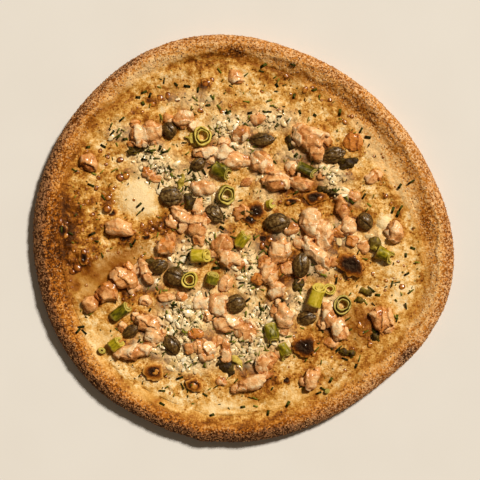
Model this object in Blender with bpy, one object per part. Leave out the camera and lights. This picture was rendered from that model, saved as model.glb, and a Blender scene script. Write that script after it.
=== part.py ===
"""Smoked salmon white pizza, baked, whole and without its plate.

A hand-stretched dough disc with a puffed rim holds a thin layer of melted cream and cheese. On the
cheese lie torn pieces of salmon, capers and cut spring onion. Lengths are millimetres until a mesh
becomes an object, which is when it is scaled to metres. +X is right and +Y is up in the view from above.
"""

import math
import random

import bmesh
import bpy
from mathutils import Matrix, Vector, noise

MM = 0.001
GAP = 0.3
SLIVER = 0.04
SEED = 11

# Dough. The outline is a radius every 15 degrees, anticlockwise from +X, and the rim's width and
# height are given every 30 degrees.
OUTLINE = (148, 142, 138.5, 136.5, 136.5, 138, 142.5, 146.5, 148, 147.5, 147.5, 147.5,
           147.5, 147, 147.5, 147.5, 145, 144.5, 143, 141, 140, 141.5, 147, 150.5)
RIM_WIDTHS = (30, 27, 25, 25, 24, 22, 25, 27, 27, 26, 27, 26)
RIM_HEIGHTS = (13, 13.5, 14, 13.5, 13.5, 13.5, 13, 12.5, 12.5, 12.5, 13, 13.5)
DIRECTIONS = 120
BASE_HEIGHT = 5.2
WAIST_HEIGHT = 6.5
TUCK = 8.0
CREST_SHARE = 0.31
STRAIGHT_SHARE = 0.35
UNDER_ANGLES = (90, 45)
OUTER_ANGLES = (0, 30, 60, 90)
INNER_SHARES = (0.2, 0.4, 0.62, 0.8, 1.0)
# Swells and crags of the rim: how far each stands out, and how long it is.
RIM_LUMPS = ((1.3, 21.0), (0.7, 9.0))
FOLD_DIRECTION = 258
FOLD_SPREAD = 4
FOLD_DEPTH = 1.3
FOLD_STEEPNESS = 9

# Cheese. Its edge laps up the rim as far as the middle of INNER_SHARES.
CHEESE_HEIGHT = 8.0
CHEESE_EDGE = 0.8
CHEESE_RINGS = DIRECTIONS // 6
CHEESE_LAP = 3
BLEND = 1.5
RIPPLE = 0.5
RIPPLE_SIZE = 11.0
SEAT_MARGIN = 6.3
SEAT_FADE = 3.0

# Bubbles and blisters of the cheese: x, y, length, width, height, turn.
BUBBLES = (
    (-72, 29, 30, 30, 1.6, 0),
    (76, -18.5, 18, 15, 2.6, -20),
    (43.5, -75.5, 16, 13, 2.4, 10),
    (51, 29, 15, 9, 1.6, 10),
    (8, 17, 12, 14, 1.8, 50),
    (-62, -93, 11, 12, 1.8, 0),
    (-34, -102.5, 12, 9, 1.8, 0),
    (-95, 20.5, 9, 8, 2.0, 0),
    (-111, -12, 10, 12, 1.4, 0),
    (-26, 107.5, 12, 9, 1.5, 0),
    (44, 104, 14, 9, 1.5, -15),
    (84, -60.5, 22, 26, 1.2, 0),
    (99, 11, 11, 10, 1.6, 0),
)

# Salmon, one node to a row. Each torn lump of it is x, y, length, width, height, turn, and lumps
# that have baked together share a row.
SALMON = (
    ((-73, 71, 14, 18, 6.5, 15), (-63.5, 74.5, 15, 18, 7.5, -20)),
    ((-41, 84, 16, 13, 6, 10),),
    ((0, 74.5, 14, 12, 6, 0),),
    ((47, 71, 26, 17, 7.5, -15), (53, 59.5, 18, 14, 6.5, -10)),
    ((-107.5, 53, 15, 14, 5.5, 80),),
    ((-9, 57, 23, 16, 6.5, -15), (-25.5, 60, 20, 10, 4.5, 5)),
    ((12.5, 53.5, 13, 18, 6.5, 10),),
    ((-27.5, 36, 20, 10, 5.5, -5),),
    ((25, 40, 19, 18, 7.5, 0), (41.5, 39, 22, 13, 6, -25)),
    ((-86, 7, 21, 14, 6.5, 0),),
    ((-43, 17, 20, 10.5, 5.5, -35), (-32, 9, 16.5, 18, 6.5, 0)),
    ((-14, -4, 17, 14, 6, 10), (-9.5, -14, 18, 14, 6, 0)),
    ((-54, -6, 14, 13, 6, 0),),
    ((48, 11, 17, 23, 7.5, 10), (57, 1.5, 14, 27, 6, -5), (51.5, -10.5, 31, 11, 6.5, -44)),
    ((69.5, 21, 10, 19, 6, 10), (74, 9, 13, 15, 5.5, 0)),
    ((107, 4.5, 12, 17.5, 6.5, 10),),
    ((25, -9, 16, 22, 6, -20), (18.5, -24, 15, 19, 6.5, 0), (23.5, -36, 13, 15, 6, 0)),
    ((28.5, -54, 12, 24, 6.5, 8),),
    ((-83, -28, 22, 15, 7, -20), (-93.5, -36.5, 18, 16, 6, 0)),
    ((-67.5, -23.5, 23, 8, 6.5, -65),),
    ((-106.5, -46, 12.5, 12.5, 5.5, 10),),
    ((-17, -46.5, 17, 21, 6.5, 10),),
    ((-10.5, -60, 22, 13.5, 5.5, -12), (3, -65, 16, 15.5, 6, 14)),
    ((-66, -59, 21, 14, 6.5, -15), (-62, -68, 15, 11, 5.5, 0)),
    ((-77, -79.5, 29, 11.5, 6, 8),),
    ((-27, -76.5, 22, 13, 6, -10),),
    ((7, -100.5, 37, 11, 6.5, 20), (15, -88, 12, 14, 6, 60)),
    ((48, -98.5, 13, 17.5, 6.5, -20),),
    ((98, -56, 18, 22, 6.5, 15),),
    ((61, -54, 12, 21, 6.5, 5), (67, -64, 11, 20, 5.5, 0)),
)

# Capers, swollen buds that baking has darkened: x, y, length, width, height, turn.
CAPERS = (
    (-51, 76, 12, 10, 6.5, -70),
    (14, 69.5, 17, 9, 6.5, 0),
    (-31, 52, 11, 9, 6, 25),
    (64, 59, 16, 10.5, 6.5, 10),
    (-50, 29.5, 16, 13, 7, -15),
    (-19.5, 17.5, 14, 11, 6, -45),
    (24.5, 11, 18, 13, 7.5, 0),
    (86, 12, 13, 10.5, 7, -60),
    (41, -18.5, 18, 12, 7.5, 80),
    (-58.5, -19.5, 13, 10.5, 7, 20),
    (-47, -27, 15, 12.5, 7, -40),
    (-4.5, -45.5, 14, 13, 7, 0),
    (-49.5, -74.5, 15, 11.5, 7, -65),
)

# Spring onion: x, y, length of tube, across it, turn, pitch, and how far round the tube closes.
# A pitch of 90 stands the tube on its end, so that its hole shows from above.
ONIONS = (
    (-28, 71.5, 5, 13.5, 75, 78, 360),
    (-14, 47, 14, 9, -25, 5, 250),
    (-11.5, 30.5, 5, 13, -20, 72, 360),
    (45.5, 47.5, 15, 8, -25, 5, 230),
    (-29, -12, 14, 10, 0, 4, 360),
    (-37, -29, 6, 11.5, 0, 90, 360),
    (-21, -27.5, 9, 8.5, 75, 4, 360),
    (100.5, -12, 13, 9.5, -25, 5, 250),
    (52, -39.5, 17, 10.5, 70, 4, 360),
    (70, -46.5, 5, 13.5, 70, 80, 360),
    (20.5, -67, 15, 9, -75, 4, 270),
    (29.5, -79.5, 12, 8.5, -60, 4, 230),
    (-88, -73.5, 10, 8.5, 35, 4, 300),
    (-84.5, -51, 16, 8, 40, 5, 220),
    (0.5, 0, 13, 8.5, 55, 5, 230),
)

# Morsels that are fused to the cheese: x, y, length, width, height, turn.
MORSELS = (
    (-4.5, 113, 10, 10, 4.5, 0),
    (78, 67.5, 12.5, 11, 4, 0),
    (0, 19, 10, 9, 4, 0),
    (84, -6, 9.5, 8, 4, 0),
    (-11.5, -32, 9, 10, 4, 0),
    (92, 43, 11, 8, 3.5, 10),
    (-54.5, -41, 10, 7, 4, 0),
    (-31, -44, 10, 8, 3.5, 0),
    (-36, 23, 7, 8, 3.5, 0),
    (-9.5, -90, 16, 12, 4, 30),
    (44.5, -56, 12, 9, 4, 0),
    (-78, -64.5, 11, 8, 4, 0),
    (-37, 0.5, 7, 9, 3.5, 20),
    (38.5, -32.5, 7.5, 8, 3.5, 0),
    (32.5, 65, 6, 9, 3, 10),
    (10, 83, 9, 8, 3.5, 0),
    (-34, -66.5, 9, 7, 3.5, 0),
    (-96, -76.5, 6.5, 6.5, 3, 0),
)

# Snipped chives, fused to the cheese: x, y, turn.
CHIVES = (
    (-84, 83.5, 85), (-69, 102, 20), (-70, 95, 80), (-108, 64, 5), (-97, 64, 60), (-91, 74, 30),
    (-46, 108, 100), (-39, 106.5, 40), (-31, 103.5, 95), (-21, 99, 10), (24, 107, 45),
    (36, 99.5, 110), (16, 88.5, 70), (50, 104, 20), (68, 88.5, 95), (51, 86, 130), (88, 71, 60),
    (-106, 37.5, 0), (-105, 3, 50), (-69.5, 20.5, 60), (-78, -4.5, 40), (-115, -64.5, 20),
    (-110.5, -66, 110), (-56, -116, 150), (-67, -95.5, 30), (-21, -123, 60), (0, -118, 10),
    (18, -122, 35), (32, -116, 70), (53.5, -108, 120), (110, 37, 60), (105, 20, 40),
    (109, 17, 50), (119, -7, 150), (114.5, -12, 80), (115, -25, 20), (108, -55, 70),
    (91, -39, 165), (72, -84.5, 20), (80, -89, 60), (62, -99, 20), (93, -68, 130),
    (13.5, -49.5, 80), (32, -30, 120), (-76, 62, 40), (-118, 18, 80), (-90, 92, 120),
)
CHIVE_LENGTH = 4.6
CHIVE_WIDTH = 1.6
CHIVE_LENGTH_SPREAD = 0.25
CHIVE_SIDES = 5
CHIVE_LIFT = 0.2
CHIVE_ROOM = 0.9 * CHIVE_LENGTH
MORSEL_SINK = 0.6

# How a torn lump narrows, as shares of its height and of its outline, from the seat to its top.
LUMP_STEPS = ((0.0, 0.84), (0.38, 1.0), (0.8, 0.76))
LUMP_POINTS = 12
MORSEL_POINTS = 8
LUMP_SQUARENESS = 2.5
LUMP_RAGGED = 0.24
TOP_SHIFT = 0.12
CAPER_WRINKLE = 0.07
CAPER_SINK = 0.16
ONION_WALL = 1.4
ONION_POINTS = 9
ONION_SINK = 0.9

# How readily each kind gives way to a neighbour, and how many directions are tried for the line
# between two neighbours.
YIELDS = {"cheese": 10.0, "salmon": 1.0, "caper": 0.25, "spring onion": 0.001}
PARTING_LINES = 72


def around(values, turn):
    """A smooth closed curve through values that are evenly spaced round the circle."""
    count = len(values)
    place = (turn / (2 * math.pi) * count) % count
    index = int(place)
    share = place - index
    before, start, end, after = (values[(index + step) % count] for step in (-1, 0, 1, 2))
    return 0.5 * (
        2 * start
        + (end - before) * share
        + (2 * before - 5 * start + 4 * end - after) * share**2
        + (3 * start - before - 3 * end + after) * share**3
    )


def outline(turn):
    """The dough's outer radius. Where the edge was folded over, it steps out a little."""
    away = (math.degrees(turn) - FOLD_DIRECTION) / FOLD_SPREAD
    fall = 1 if away > 0 else FOLD_STEEPNESS
    return around(OUTLINE, turn) + FOLD_DEPTH * math.exp(-fall * away**2)


def rim_slope(turn, share):
    """Radius and height on the rim's inner slope, from 0 at the crest to 1 at the foot."""
    width = around(RIM_WIDTHS, turn)
    crest = outline(turn) - CREST_SHARE * width
    rise = around(RIM_HEIGHTS, turn) - BASE_HEIGHT
    radius = crest - (1 - CREST_SHARE) * width * share
    rounded = (1 + math.cos(math.pi * share)) / 2
    return radius, BASE_HEIGHT + rise * (rounded + STRAIGHT_SHARE * (1 - share - rounded))


def rim_section(turn):
    """Radius and height of the rim's skin, from the flat underside over the crest to the foot."""
    outer = outline(turn)
    crest, top = rim_slope(turn, 0)
    section = []
    for tuck in UNDER_ANGLES:
        bend = math.radians(tuck)
        section.append((outer - TUCK * (1 - math.cos(bend)), WAIST_HEIGHT * (1 - math.sin(bend))))
    for angle in OUTER_ANGLES:
        rise = math.radians(angle)
        radius = crest + (outer - crest) * math.cos(rise)
        section.append((radius, WAIST_HEIGHT + (top - WAIST_HEIGHT) * math.sin(rise)))
    for share in INNER_SHARES:
        section.append(rim_slope(turn, share))
    return section


def slope_height(turn, radius):
    """Height of the dough's upper side inside the crest, which the cheese lies on."""
    crest = rim_slope(turn, 0)[0]
    foot = rim_slope(turn, 1)[0]
    share = min(1.0, max(0.0, (crest - radius) / (crest - foot)))
    return rim_slope(turn, share)[1]


def polar(radius, turn, height):
    return Vector((radius * math.cos(turn), radius * math.sin(turn), height))


def turns_round(count):
    return [2 * math.pi * index / count for index in range(count)]


def band(bm, inner, outer):
    """Triangles between two rings with as many points, wound to face up or outwards."""
    count = len(inner)
    for index in range(count):
        after = (index + 1) % count
        bm.faces.new((inner[index], outer[index], outer[after]))
        bm.faces.new((inner[index], outer[after], inner[after]))


def finish(name, bm, material):
    """Turns the mesh into a named object in metres."""
    bmesh.ops.recalc_face_normals(bm, faces=bm.faces)
    bmesh.ops.scale(bm, vec=(MM, MM, MM), verts=bm.verts)
    mesh = bpy.data.meshes.new(name)
    bm.to_mesh(mesh)
    bm.free()
    mesh.materials.append(material)
    mesh.shade_smooth()
    mesh.set_sharp_from_angle(angle=math.radians(50))
    made = bpy.data.objects.new(name, mesh)
    bpy.context.scene.collection.objects.link(made)
    return made


def principled(name, colour, roughness):
    material = bpy.data.materials.new(name)
    material.use_nodes = True
    shader = material.node_tree.nodes["Principled BSDF"]
    shader.inputs["Base Color"].default_value = (*colour, 1)
    shader.inputs["Roughness"].default_value = roughness
    shader.inputs["Metallic"].default_value = 0
    return material


def lumpy(point, size, height):
    """Smooth noise between about -height and height, with bumps of the given size."""
    return height * noise.noise(point / size)


def build_crust(material):
    bm = bmesh.new()
    sections = [rim_section(turn) for turn in turns_round(DIRECTIONS)]
    rings = []
    covered = len(sections[0]) - CHEESE_LAP
    for station in range(len(sections[0])):
        ring = []
        for turn, section in zip(turns_round(DIRECTIONS), sections):
            radius, height = section[station]
            point = polar(radius, turn, height)
            if 0 < station < covered:
                swell = sum(lumpy(point, size, reach) for reach, size in RIM_LUMPS)
                point.z += swell * height / RIM_HEIGHTS[0]
            ring.append(bm.verts.new(point))
        rings.append(ring)
    for lower, upper in zip(rings, rings[1:]):
        band(bm, lower, upper)
    bm.faces.new(rings[0])
    bm.faces.new(rings[-1])
    return finish("crust", bm, material)


def footprint_distance(piece, x, y):
    """Roughly how far a point lies outside a piece's oval footprint."""
    px, py, length, width = piece[:4]
    turn = math.radians(piece[5])
    along = (x - px) * math.cos(turn) + (y - py) * math.sin(turn)
    across = (y - py) * math.cos(turn) - (x - px) * math.sin(turn)
    share = math.hypot(2 * along / length, 2 * across / width)
    return (share - 1) * min(length, width) / 2


def ripple(x, y, seats):
    """Height of the cheese over its level, with bubbles and blisters, and none under a topping."""
    height = lumpy(Vector((x, y, 0)), RIPPLE_SIZE, RIPPLE)
    for bubble in BUBBLES:
        away = 1 + 2 * footprint_distance(bubble, x, y) / min(bubble[2:4])
        height += bubble[4] * max(0.0, 1 - away**2)
    clear = min(footprint_distance(seat, x, y) for seat in seats) - SEAT_MARGIN
    return height * min(1.0, max(0.0, clear / SEAT_FADE))


def cheese_height(turn, radius, seats):
    level = CHEESE_HEIGHT + ripple(radius * math.cos(turn), radius * math.sin(turn), seats)
    lap = slope_height(turn, radius) + GAP + CHEESE_EDGE
    blend = max(0.0, BLEND - abs(level - lap)) / BLEND
    return max(level, lap) + BLEND * blend**2 / 4


def cheese_top(bm, seats):
    """A disc of even triangles, whose rings gain six points each. It returns the outermost ring."""
    inside = [bm.verts.new((0, 0, cheese_height(0, 0, seats)))]
    for step in range(1, CHEESE_RINGS + 1):
        ring = []
        for turn in turns_round(6 * step):
            reach = rim_slope(turn, INNER_SHARES[-CHEESE_LAP])[0]
            radius = reach * step / CHEESE_RINGS
            ring.append(bm.verts.new(polar(radius, turn, cheese_height(turn, radius, seats))))
        for sector in range(6):
            for index in range(step):
                here = sector * step + index
                near = sector * (step - 1) + index
                tip = inside[near % len(inside)]
                bm.faces.new((tip, ring[here], ring[(here + 1) % len(ring)]))
                if index < step - 1:
                    bm.faces.new((tip, ring[(here + 1) % len(ring)], inside[(near + 1) % len(inside)]))
        inside = ring
    return inside


def build_cheese(material, seats):
    bm = bmesh.new()
    edge = cheese_top(bm, seats)
    lap = []
    for share in INNER_SHARES[-CHEESE_LAP:]:
        ring = []
        for turn in turns_round(DIRECTIONS):
            radius, height = rim_slope(turn, share)
            ring.append(bm.verts.new(polar(radius, turn, height + GAP)))
        lap.append(ring)
    band(bm, edge, lap[0])
    for outer, inner in zip(lap, lap[1:]):
        band(bm, outer, inner)
    bm.faces.new(lap[-1])
    return finish("cheese", bm, material)


def lump_outline(length, width, points, draw):
    """The torn outline of a lump, between an ellipse and a rectangle."""
    ring = []
    for turn in turns_round(points):
        c, s = math.cos(turn), math.sin(turn)
        reach = (abs(c) ** LUMP_SQUARENESS + abs(s) ** LUMP_SQUARENESS) ** (-1 / LUMP_SQUARENESS)
        reach *= 1 - LUMP_RAGGED * draw.random()
        ring.append(Vector((reach * c * length / 2, reach * s * width / 2, 0)))
    return ring


def new_items(found, kind):
    return [item for item in found if isinstance(item, kind)]


def lump(piece, seat, points, draw):
    """A torn lump of fish: its outline raised in steps that narrow to a blunt top."""
    x, y, length, width, height, turn = piece
    bm = bmesh.new()
    face = bm.faces.new([bm.verts.new(point) for point in lump_outline(length, width, points, draw)])
    narrowest = LUMP_STEPS[0][1]
    bmesh.ops.scale(bm, vec=(narrowest, narrowest, 1), verts=bm.verts)
    for low, high in zip(LUMP_STEPS, LUMP_STEPS[1:]):
        raised = bmesh.ops.extrude_face_region(bm, geom=[face])["geom"]
        if low is not LUMP_STEPS[0]:
            bmesh.ops.delete(bm, geom=[face], context="FACES_ONLY")
        face = new_items(raised, bmesh.types.BMFace)[0]
        for vert in face.verts:
            swell = (high[1] / low[1]) * (1 + LUMP_RAGGED * (draw.random() - 0.5))
            rise = height * high[0] * (1 + LUMP_RAGGED * (draw.random() - 0.5))
            vert.co = Vector((vert.co.x * swell, vert.co.y * swell, rise))
    peak = bmesh.ops.poke(bm, faces=[face])["verts"][0]
    shift = TOP_SHIFT * (draw.random() - 0.5)
    peak.co = Vector((length * shift, width * shift, height))
    place = Matrix.Translation((x, y, seat)) @ Matrix.Rotation(math.radians(turn), 4, "Z")
    bmesh.ops.transform(bm, matrix=place, verts=bm.verts)
    return bm


def cut_flat(bm, height):
    """Takes away what hangs under the seat and closes the cut."""
    everything = list(bm.verts) + list(bm.edges) + list(bm.faces)
    cut = bmesh.ops.bisect_plane(
        bm, geom=everything, plane_co=(0, 0, height), plane_no=(0, 0, 1), clear_inner=True
    )
    bmesh.ops.holes_fill(bm, edges=new_items(cut["geom_cut"], bmesh.types.BMEdge))


def caper(piece, seat):
    """A plump bud, a little creased, that has sunk into the cheese."""
    x, y, length, width, height, turn = piece
    bm = bmesh.new()
    bmesh.ops.create_icosphere(bm, subdivisions=2, radius=0.5)
    for vert in bm.verts:
        vert.co *= 1 + lumpy(vert.co + Vector((x, y, 0)), 0.4, CAPER_WRINKLE)
    bmesh.ops.scale(bm, vec=(length, width, height), verts=bm.verts)
    lift = seat + height * (0.5 - CAPER_SINK)
    place = Matrix.Translation((x, y, lift)) @ Matrix.Rotation(math.radians(turn), 4, "Z")
    bmesh.ops.transform(bm, matrix=place, verts=bm.verts)
    cut_flat(bm, seat)
    return bm


def onion_tube(piece, seat):
    """A cut of spring onion, as a tube or, where it has split, as an open gutter facing down."""
    x, y, length, across, turn, pitch, closing = piece
    bm = bmesh.new()
    outer = across / 2
    inner = outer - ONION_WALL
    ends = ((inner, -length / 2), (outer, -length / 2), (outer, length / 2), (inner, length / 2))
    corners = [bm.verts.new((radius, 0, along)) for radius, along in ends]
    edges = [bm.edges.new((corners[index - 1], corners[index])) for index in range(4)]
    whole = closing == 360
    bmesh.ops.spin(
        bm, geom=corners + edges, cent=(0, 0, 0), axis=(0, 0, 1),
        angle=math.radians(closing), steps=ONION_POINTS, use_merge=whole,
    )
    if not whole:
        bmesh.ops.holes_fill(bm, edges=bm.edges)
    split_down = Matrix.Rotation(-math.radians(closing / 2 + 180), 4, "Z")
    lean = Matrix.Rotation(math.radians(90 - pitch), 4, "Y")
    heading = Matrix.Rotation(math.radians(turn), 4, "Z")
    bmesh.ops.transform(bm, matrix=heading @ lean @ split_down, verts=bm.verts)
    sink = ONION_SINK if pitch < 90 else 0
    lift = seat - sink - min(vert.co.z for vert in bm.verts)
    bmesh.ops.translate(bm, vec=(x, y, lift), verts=bm.verts)
    if sink:
        cut_flat(bm, seat)
    return bm


def chive(piece, height, draw):
    """A snip of chive that lies half sunk in the cheese."""
    x, y, turn = piece
    bm = bmesh.new()
    length = CHIVE_LENGTH * (1 + CHIVE_LENGTH_SPREAD * draw.uniform(-1, 1))
    bmesh.ops.create_cone(
        bm, cap_ends=True, segments=CHIVE_SIDES, depth=length,
        radius1=CHIVE_WIDTH / 2, radius2=CHIVE_WIDTH / 2,
    )
    lay = Matrix.Rotation(math.radians(90), 4, "Y")
    place = Matrix.Translation((x, y, height + CHIVE_LIFT)) @ Matrix.Rotation(math.radians(turn), 4, "Z")
    bmesh.ops.transform(bm, matrix=place @ lay, verts=bm.verts)
    return bm


def part_company(first, second, first_yields, second_yields):
    """Shaves two neighbours back from the line across which they overlap least."""
    best = None
    for angle in turns_round(PARTING_LINES):
        ahead = Vector((math.cos(angle), math.sin(angle), 0))
        reach = max(vert.co.dot(ahead) for vert in first.verts)
        start = min(vert.co.dot(ahead) for vert in second.verts)
        if best is None or reach - start < best[0]:
            best = (reach - start, ahead, reach, start)
    overlap, ahead, reach, start = best
    shave = overlap + GAP
    if shave <= 0:
        return
    share = first_yields / (first_yields + second_yields)
    first_limit = reach - shave * share
    second_limit = start + shave * (1 - share)
    for vert in first.verts:
        vert.co -= ahead * max(0.0, vert.co.dot(ahead) - first_limit)
    for vert in second.verts:
        vert.co += ahead * max(0.0, second_limit - vert.co.dot(ahead))


def fuse(name, bodies, material):
    """One object from one or more overlapping bodies, joined by a Boolean union."""
    main = finish(name, bodies[0], material)
    if len(bodies) == 1:
        return main
    joined = bpy.data.collections.new(f"{name} pieces")
    for index, body in enumerate(bodies[1:]):
        piece = finish(f"{name} piece {index}", body, material)
        bpy.context.scene.collection.objects.unlink(piece)
        joined.objects.link(piece)
    bpy.context.scene.collection.children.link(joined)
    return apply_union(main, joined)


def apply_union(main, joined):
    """Joins a collection's objects to an object, removes them, and clears the join of slivers."""
    union = main.modifiers.new("Union", "BOOLEAN")
    union.operation = "UNION"
    union.operand_type = "COLLECTION"
    union.collection = joined
    graph = bpy.context.evaluated_depsgraph_get()
    whole = bpy.data.meshes.new_from_object(main.evaluated_get(graph))
    main.modifiers.clear()
    main.data = whole
    bm = bmesh.new()
    bm.from_mesh(whole)
    bmesh.ops.triangulate(bm, faces=bm.faces)
    bmesh.ops.dissolve_degenerate(bm, dist=SLIVER * MM, edges=bm.edges)
    bm.to_mesh(whole)
    bm.free()
    for piece in list(joined.objects):
        bpy.data.objects.remove(piece)
    bpy.data.collections.remove(joined)
    return main


def toppings(draw):
    """Every topping as (node name, kind, bodies), all resting on the flat seats of the cheese."""
    seat = CHEESE_HEIGHT + GAP
    sunk = CHEESE_HEIGHT - MORSEL_SINK
    made = []
    for index, lumps in enumerate(SALMON, 1):
        bodies = [lump(piece, seat, LUMP_POINTS, draw) for piece in lumps]
        made.append((f"salmon_{index:02d}", "salmon", bodies))
    for index, piece in enumerate(CAPERS, 1):
        made.append((f"caper_{index:02d}", "caper", [caper(piece, seat)]))
    for index, piece in enumerate(ONIONS, 1):
        made.append((f"spring_onion_{index:02d}", "spring onion", [onion_tube(piece, seat)]))
    made.append(("morsels", "cheese", [lump(piece, sunk, MORSEL_POINTS, draw) for piece in MORSELS]))
    return made


def make_room(made):
    """Leaves a gap between neighbours that belong to different nodes."""
    for index, (_, kind, bodies) in enumerate(made):
        for _, other_kind, others in made[index + 1:]:
            for body in bodies:
                for other in others:
                    part_company(body, other, YIELDS[kind], YIELDS[other_kind])


def seats_of_toppings():
    """The oval under each topping, where the cheese is level."""
    seats = [piece for lumps in SALMON for piece in lumps]
    seats += list(CAPERS)
    for x, y, length, across, turn, pitch, _ in ONIONS:
        seats.append((x, y, max(length, across), across, across, turn))
    return seats + list(MORSELS)


def chives(seats, draw):
    """The snips that lie clear of every topping."""
    made = []
    for x, y, turn in CHIVES:
        way, radius = math.atan2(y, x), math.hypot(x, y)
        room = min(footprint_distance(seat, x, y) for seat in seats)
        room = min(room, rim_slope(way, INNER_SHARES[-CHEESE_LAP])[0] - radius)
        if room < CHIVE_ROOM:
            continue
        level = cheese_height(way, radius, seats)
        made.append(chive((x, y, turn), level, draw))
    return made


def centre_on(made, guide):
    """Moves every object so that the guide's box is centred on the vertical axis."""
    corners = [vert.co for vert in guide.data.vertices]
    middle = Vector((0, 0, 0))
    for axis in (0, 1):
        along = [corner[axis] for corner in corners]
        middle[axis] = (min(along) + max(along)) / 2
    for piece in made:
        piece.data.transform(Matrix.Translation(-middle))


def main():
    for existing in list(bpy.data.objects):
        bpy.data.objects.remove(existing)
    materials = {
        "crust": principled("crust", (0.55, 0.32, 0.15), 0.85),
        "cheese": principled("cheese", (0.83, 0.62, 0.34), 0.5),
        "salmon": principled("salmon", (0.78, 0.42, 0.28), 0.45),
        "caper": principled("caper", (0.10, 0.11, 0.05), 0.4),
        "spring onion": principled("spring onion", (0.38, 0.50, 0.10), 0.4),
    }
    draw = random.Random(SEED)
    made = toppings(draw)
    make_room(made)
    seats = seats_of_toppings()
    crust = build_crust(materials["crust"])
    objects = [crust]
    fused = []
    for name, kind, bodies in made:
        if kind == "cheese":
            fused = bodies
        else:
            objects.append(fuse(name, bodies, materials[kind]))
    cheese = build_cheese(materials["cheese"], seats)
    joined = bpy.data.collections.new("fused to the cheese")
    bpy.context.scene.collection.children.link(joined)
    for index, body in enumerate(fused + chives(seats, draw)):
        piece = finish(f"morsel {index}", body, materials["cheese"])
        bpy.context.scene.collection.objects.unlink(piece)
        joined.objects.link(piece)
    objects.append(apply_union(cheese, joined))
    centre_on(objects, crust)


main()
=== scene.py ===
# %% [markdown]
# # A baked pizza with smoked salmon, built in cells
#
# The solid model already has every form at its real place: the dough, the cheese, thirty lumps of
# salmon, thirteen capers and fifteen cuts of spring onion. This script gives each of them the look
# of the real food. The dough and the cheese are made again with fine relief, the toppings grow out
# of their solids, and what the solids leave out, such as curds, herbs and grains, is strewn on top.
#
# Lengths are millimetres round the dough's middle, as in the solid model, until a mesh is finished.

import itertools
import math

import bmesh
import bpy
import numpy as np
from mathutils import Matrix, Vector, noise


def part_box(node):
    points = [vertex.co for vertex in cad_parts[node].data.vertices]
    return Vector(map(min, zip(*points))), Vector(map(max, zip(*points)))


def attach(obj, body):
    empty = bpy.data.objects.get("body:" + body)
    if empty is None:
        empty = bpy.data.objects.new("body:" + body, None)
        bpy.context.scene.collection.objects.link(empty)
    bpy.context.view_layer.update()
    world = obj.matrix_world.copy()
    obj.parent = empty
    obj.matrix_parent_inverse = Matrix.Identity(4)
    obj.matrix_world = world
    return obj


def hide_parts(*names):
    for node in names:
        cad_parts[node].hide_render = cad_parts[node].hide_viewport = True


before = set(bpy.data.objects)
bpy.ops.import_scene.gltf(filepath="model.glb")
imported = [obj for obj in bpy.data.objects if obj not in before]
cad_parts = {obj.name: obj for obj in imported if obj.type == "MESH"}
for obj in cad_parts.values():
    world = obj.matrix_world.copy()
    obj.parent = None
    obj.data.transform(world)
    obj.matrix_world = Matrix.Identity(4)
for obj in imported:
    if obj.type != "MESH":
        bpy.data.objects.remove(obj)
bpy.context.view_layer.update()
MM = 0.001

# %% [markdown]
# ## The dough's measures
#
# A hand-stretched disc is never round. These are the solid model's own numbers: a radius every 15
# degrees, and the width and height of the puffed rim every 30 degrees. A smooth closed curve runs
# through each row of numbers, so that a fine mesh and a coarse one lie on the same shape.

# %% Numbers of the dough
OUTLINE = (148, 142, 138.5, 136.5, 136.5, 138, 142.5, 146.5, 148, 147.5, 147.5, 147.5,
           147.5, 147, 147.5, 147.5, 145, 144.5, 143, 141, 140, 141.5, 147, 150.5)
RIM_WIDTHS = (30, 27, 25, 25, 24, 22, 25, 27, 27, 26, 27, 26)
RIM_HEIGHTS = (13, 13.5, 14, 13.5, 13.5, 13.5, 13, 12.5, 12.5, 12.5, 13, 13.5)
DIRECTIONS = 120
BASE_HEIGHT = 5.2
WAIST_HEIGHT = 6.5
TUCK = 8.0
CREST_SHARE = 0.31
STRAIGHT_SHARE = 0.35
CHEESE_EDGE_SHARE = 0.62
RIM_LUMPS = ((1.3, 21.0), (0.7, 9.0))
FOLD_DIRECTION = 258
FOLD_SPREAD = 4
FOLD_DEPTH = 1.3
FOLD_STEEPNESS = 9


# %% Curves through the numbers
def around(values, turn):
    """A smooth closed curve through values that are evenly spaced round the circle."""
    ring = np.array(values, float)
    place = (turn / (2 * np.pi) * len(ring)) % len(ring)
    index = np.floor(place).astype(int)
    share = place - index
    before, start, end, after = (ring[(index + step) % len(ring)] for step in (-1, 0, 1, 2))
    return 0.5 * (
        2 * start
        + (end - before) * share
        + (2 * before - 5 * start + 4 * end - after) * share**2
        + (3 * start - before - 3 * end + after) * share**3
    )


def outline(turn):
    """The dough's outer radius. Where the edge was folded over, it steps out a little."""
    away = (np.degrees(turn) % 360 - FOLD_DIRECTION) / FOLD_SPREAD
    fall = np.where(away > 0, 1, FOLD_STEEPNESS)
    return around(OUTLINE, turn) + FOLD_DEPTH * np.exp(-fall * away**2)


def rim_slope(turn, share):
    """Radius and height on the rim's inner slope, from 0 at the crest to 1 at the foot."""
    width = around(RIM_WIDTHS, turn)
    crest = outline(turn) - CREST_SHARE * width
    rise = around(RIM_HEIGHTS, turn) - BASE_HEIGHT
    radius = crest - (1 - CREST_SHARE) * width * share
    rounded = (1 + np.cos(np.pi * share)) / 2
    return radius, BASE_HEIGHT + rise * (rounded + STRAIGHT_SHARE * (1 - share - rounded))


def slope_share(turn, radius):
    """How far down the inner slope a radius lies, from 0 at the crest to 1 at the foot."""
    crest, foot = rim_slope(turn, 0)[0], rim_slope(turn, 1)[0]
    return np.clip((crest - radius) / (crest - foot), 0, 1)


CHEESE_LEVEL = 8.1
BLEND = 4.0


def eased(slope):
    """The slope's height, eased over into the level of the cheese without a corner."""
    nearness = np.clip(BLEND - abs(slope - CHEESE_LEVEL), 0, BLEND) / BLEND
    return np.maximum(slope, CHEESE_LEVEL) + BLEND * nearness**2 / 4


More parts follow.
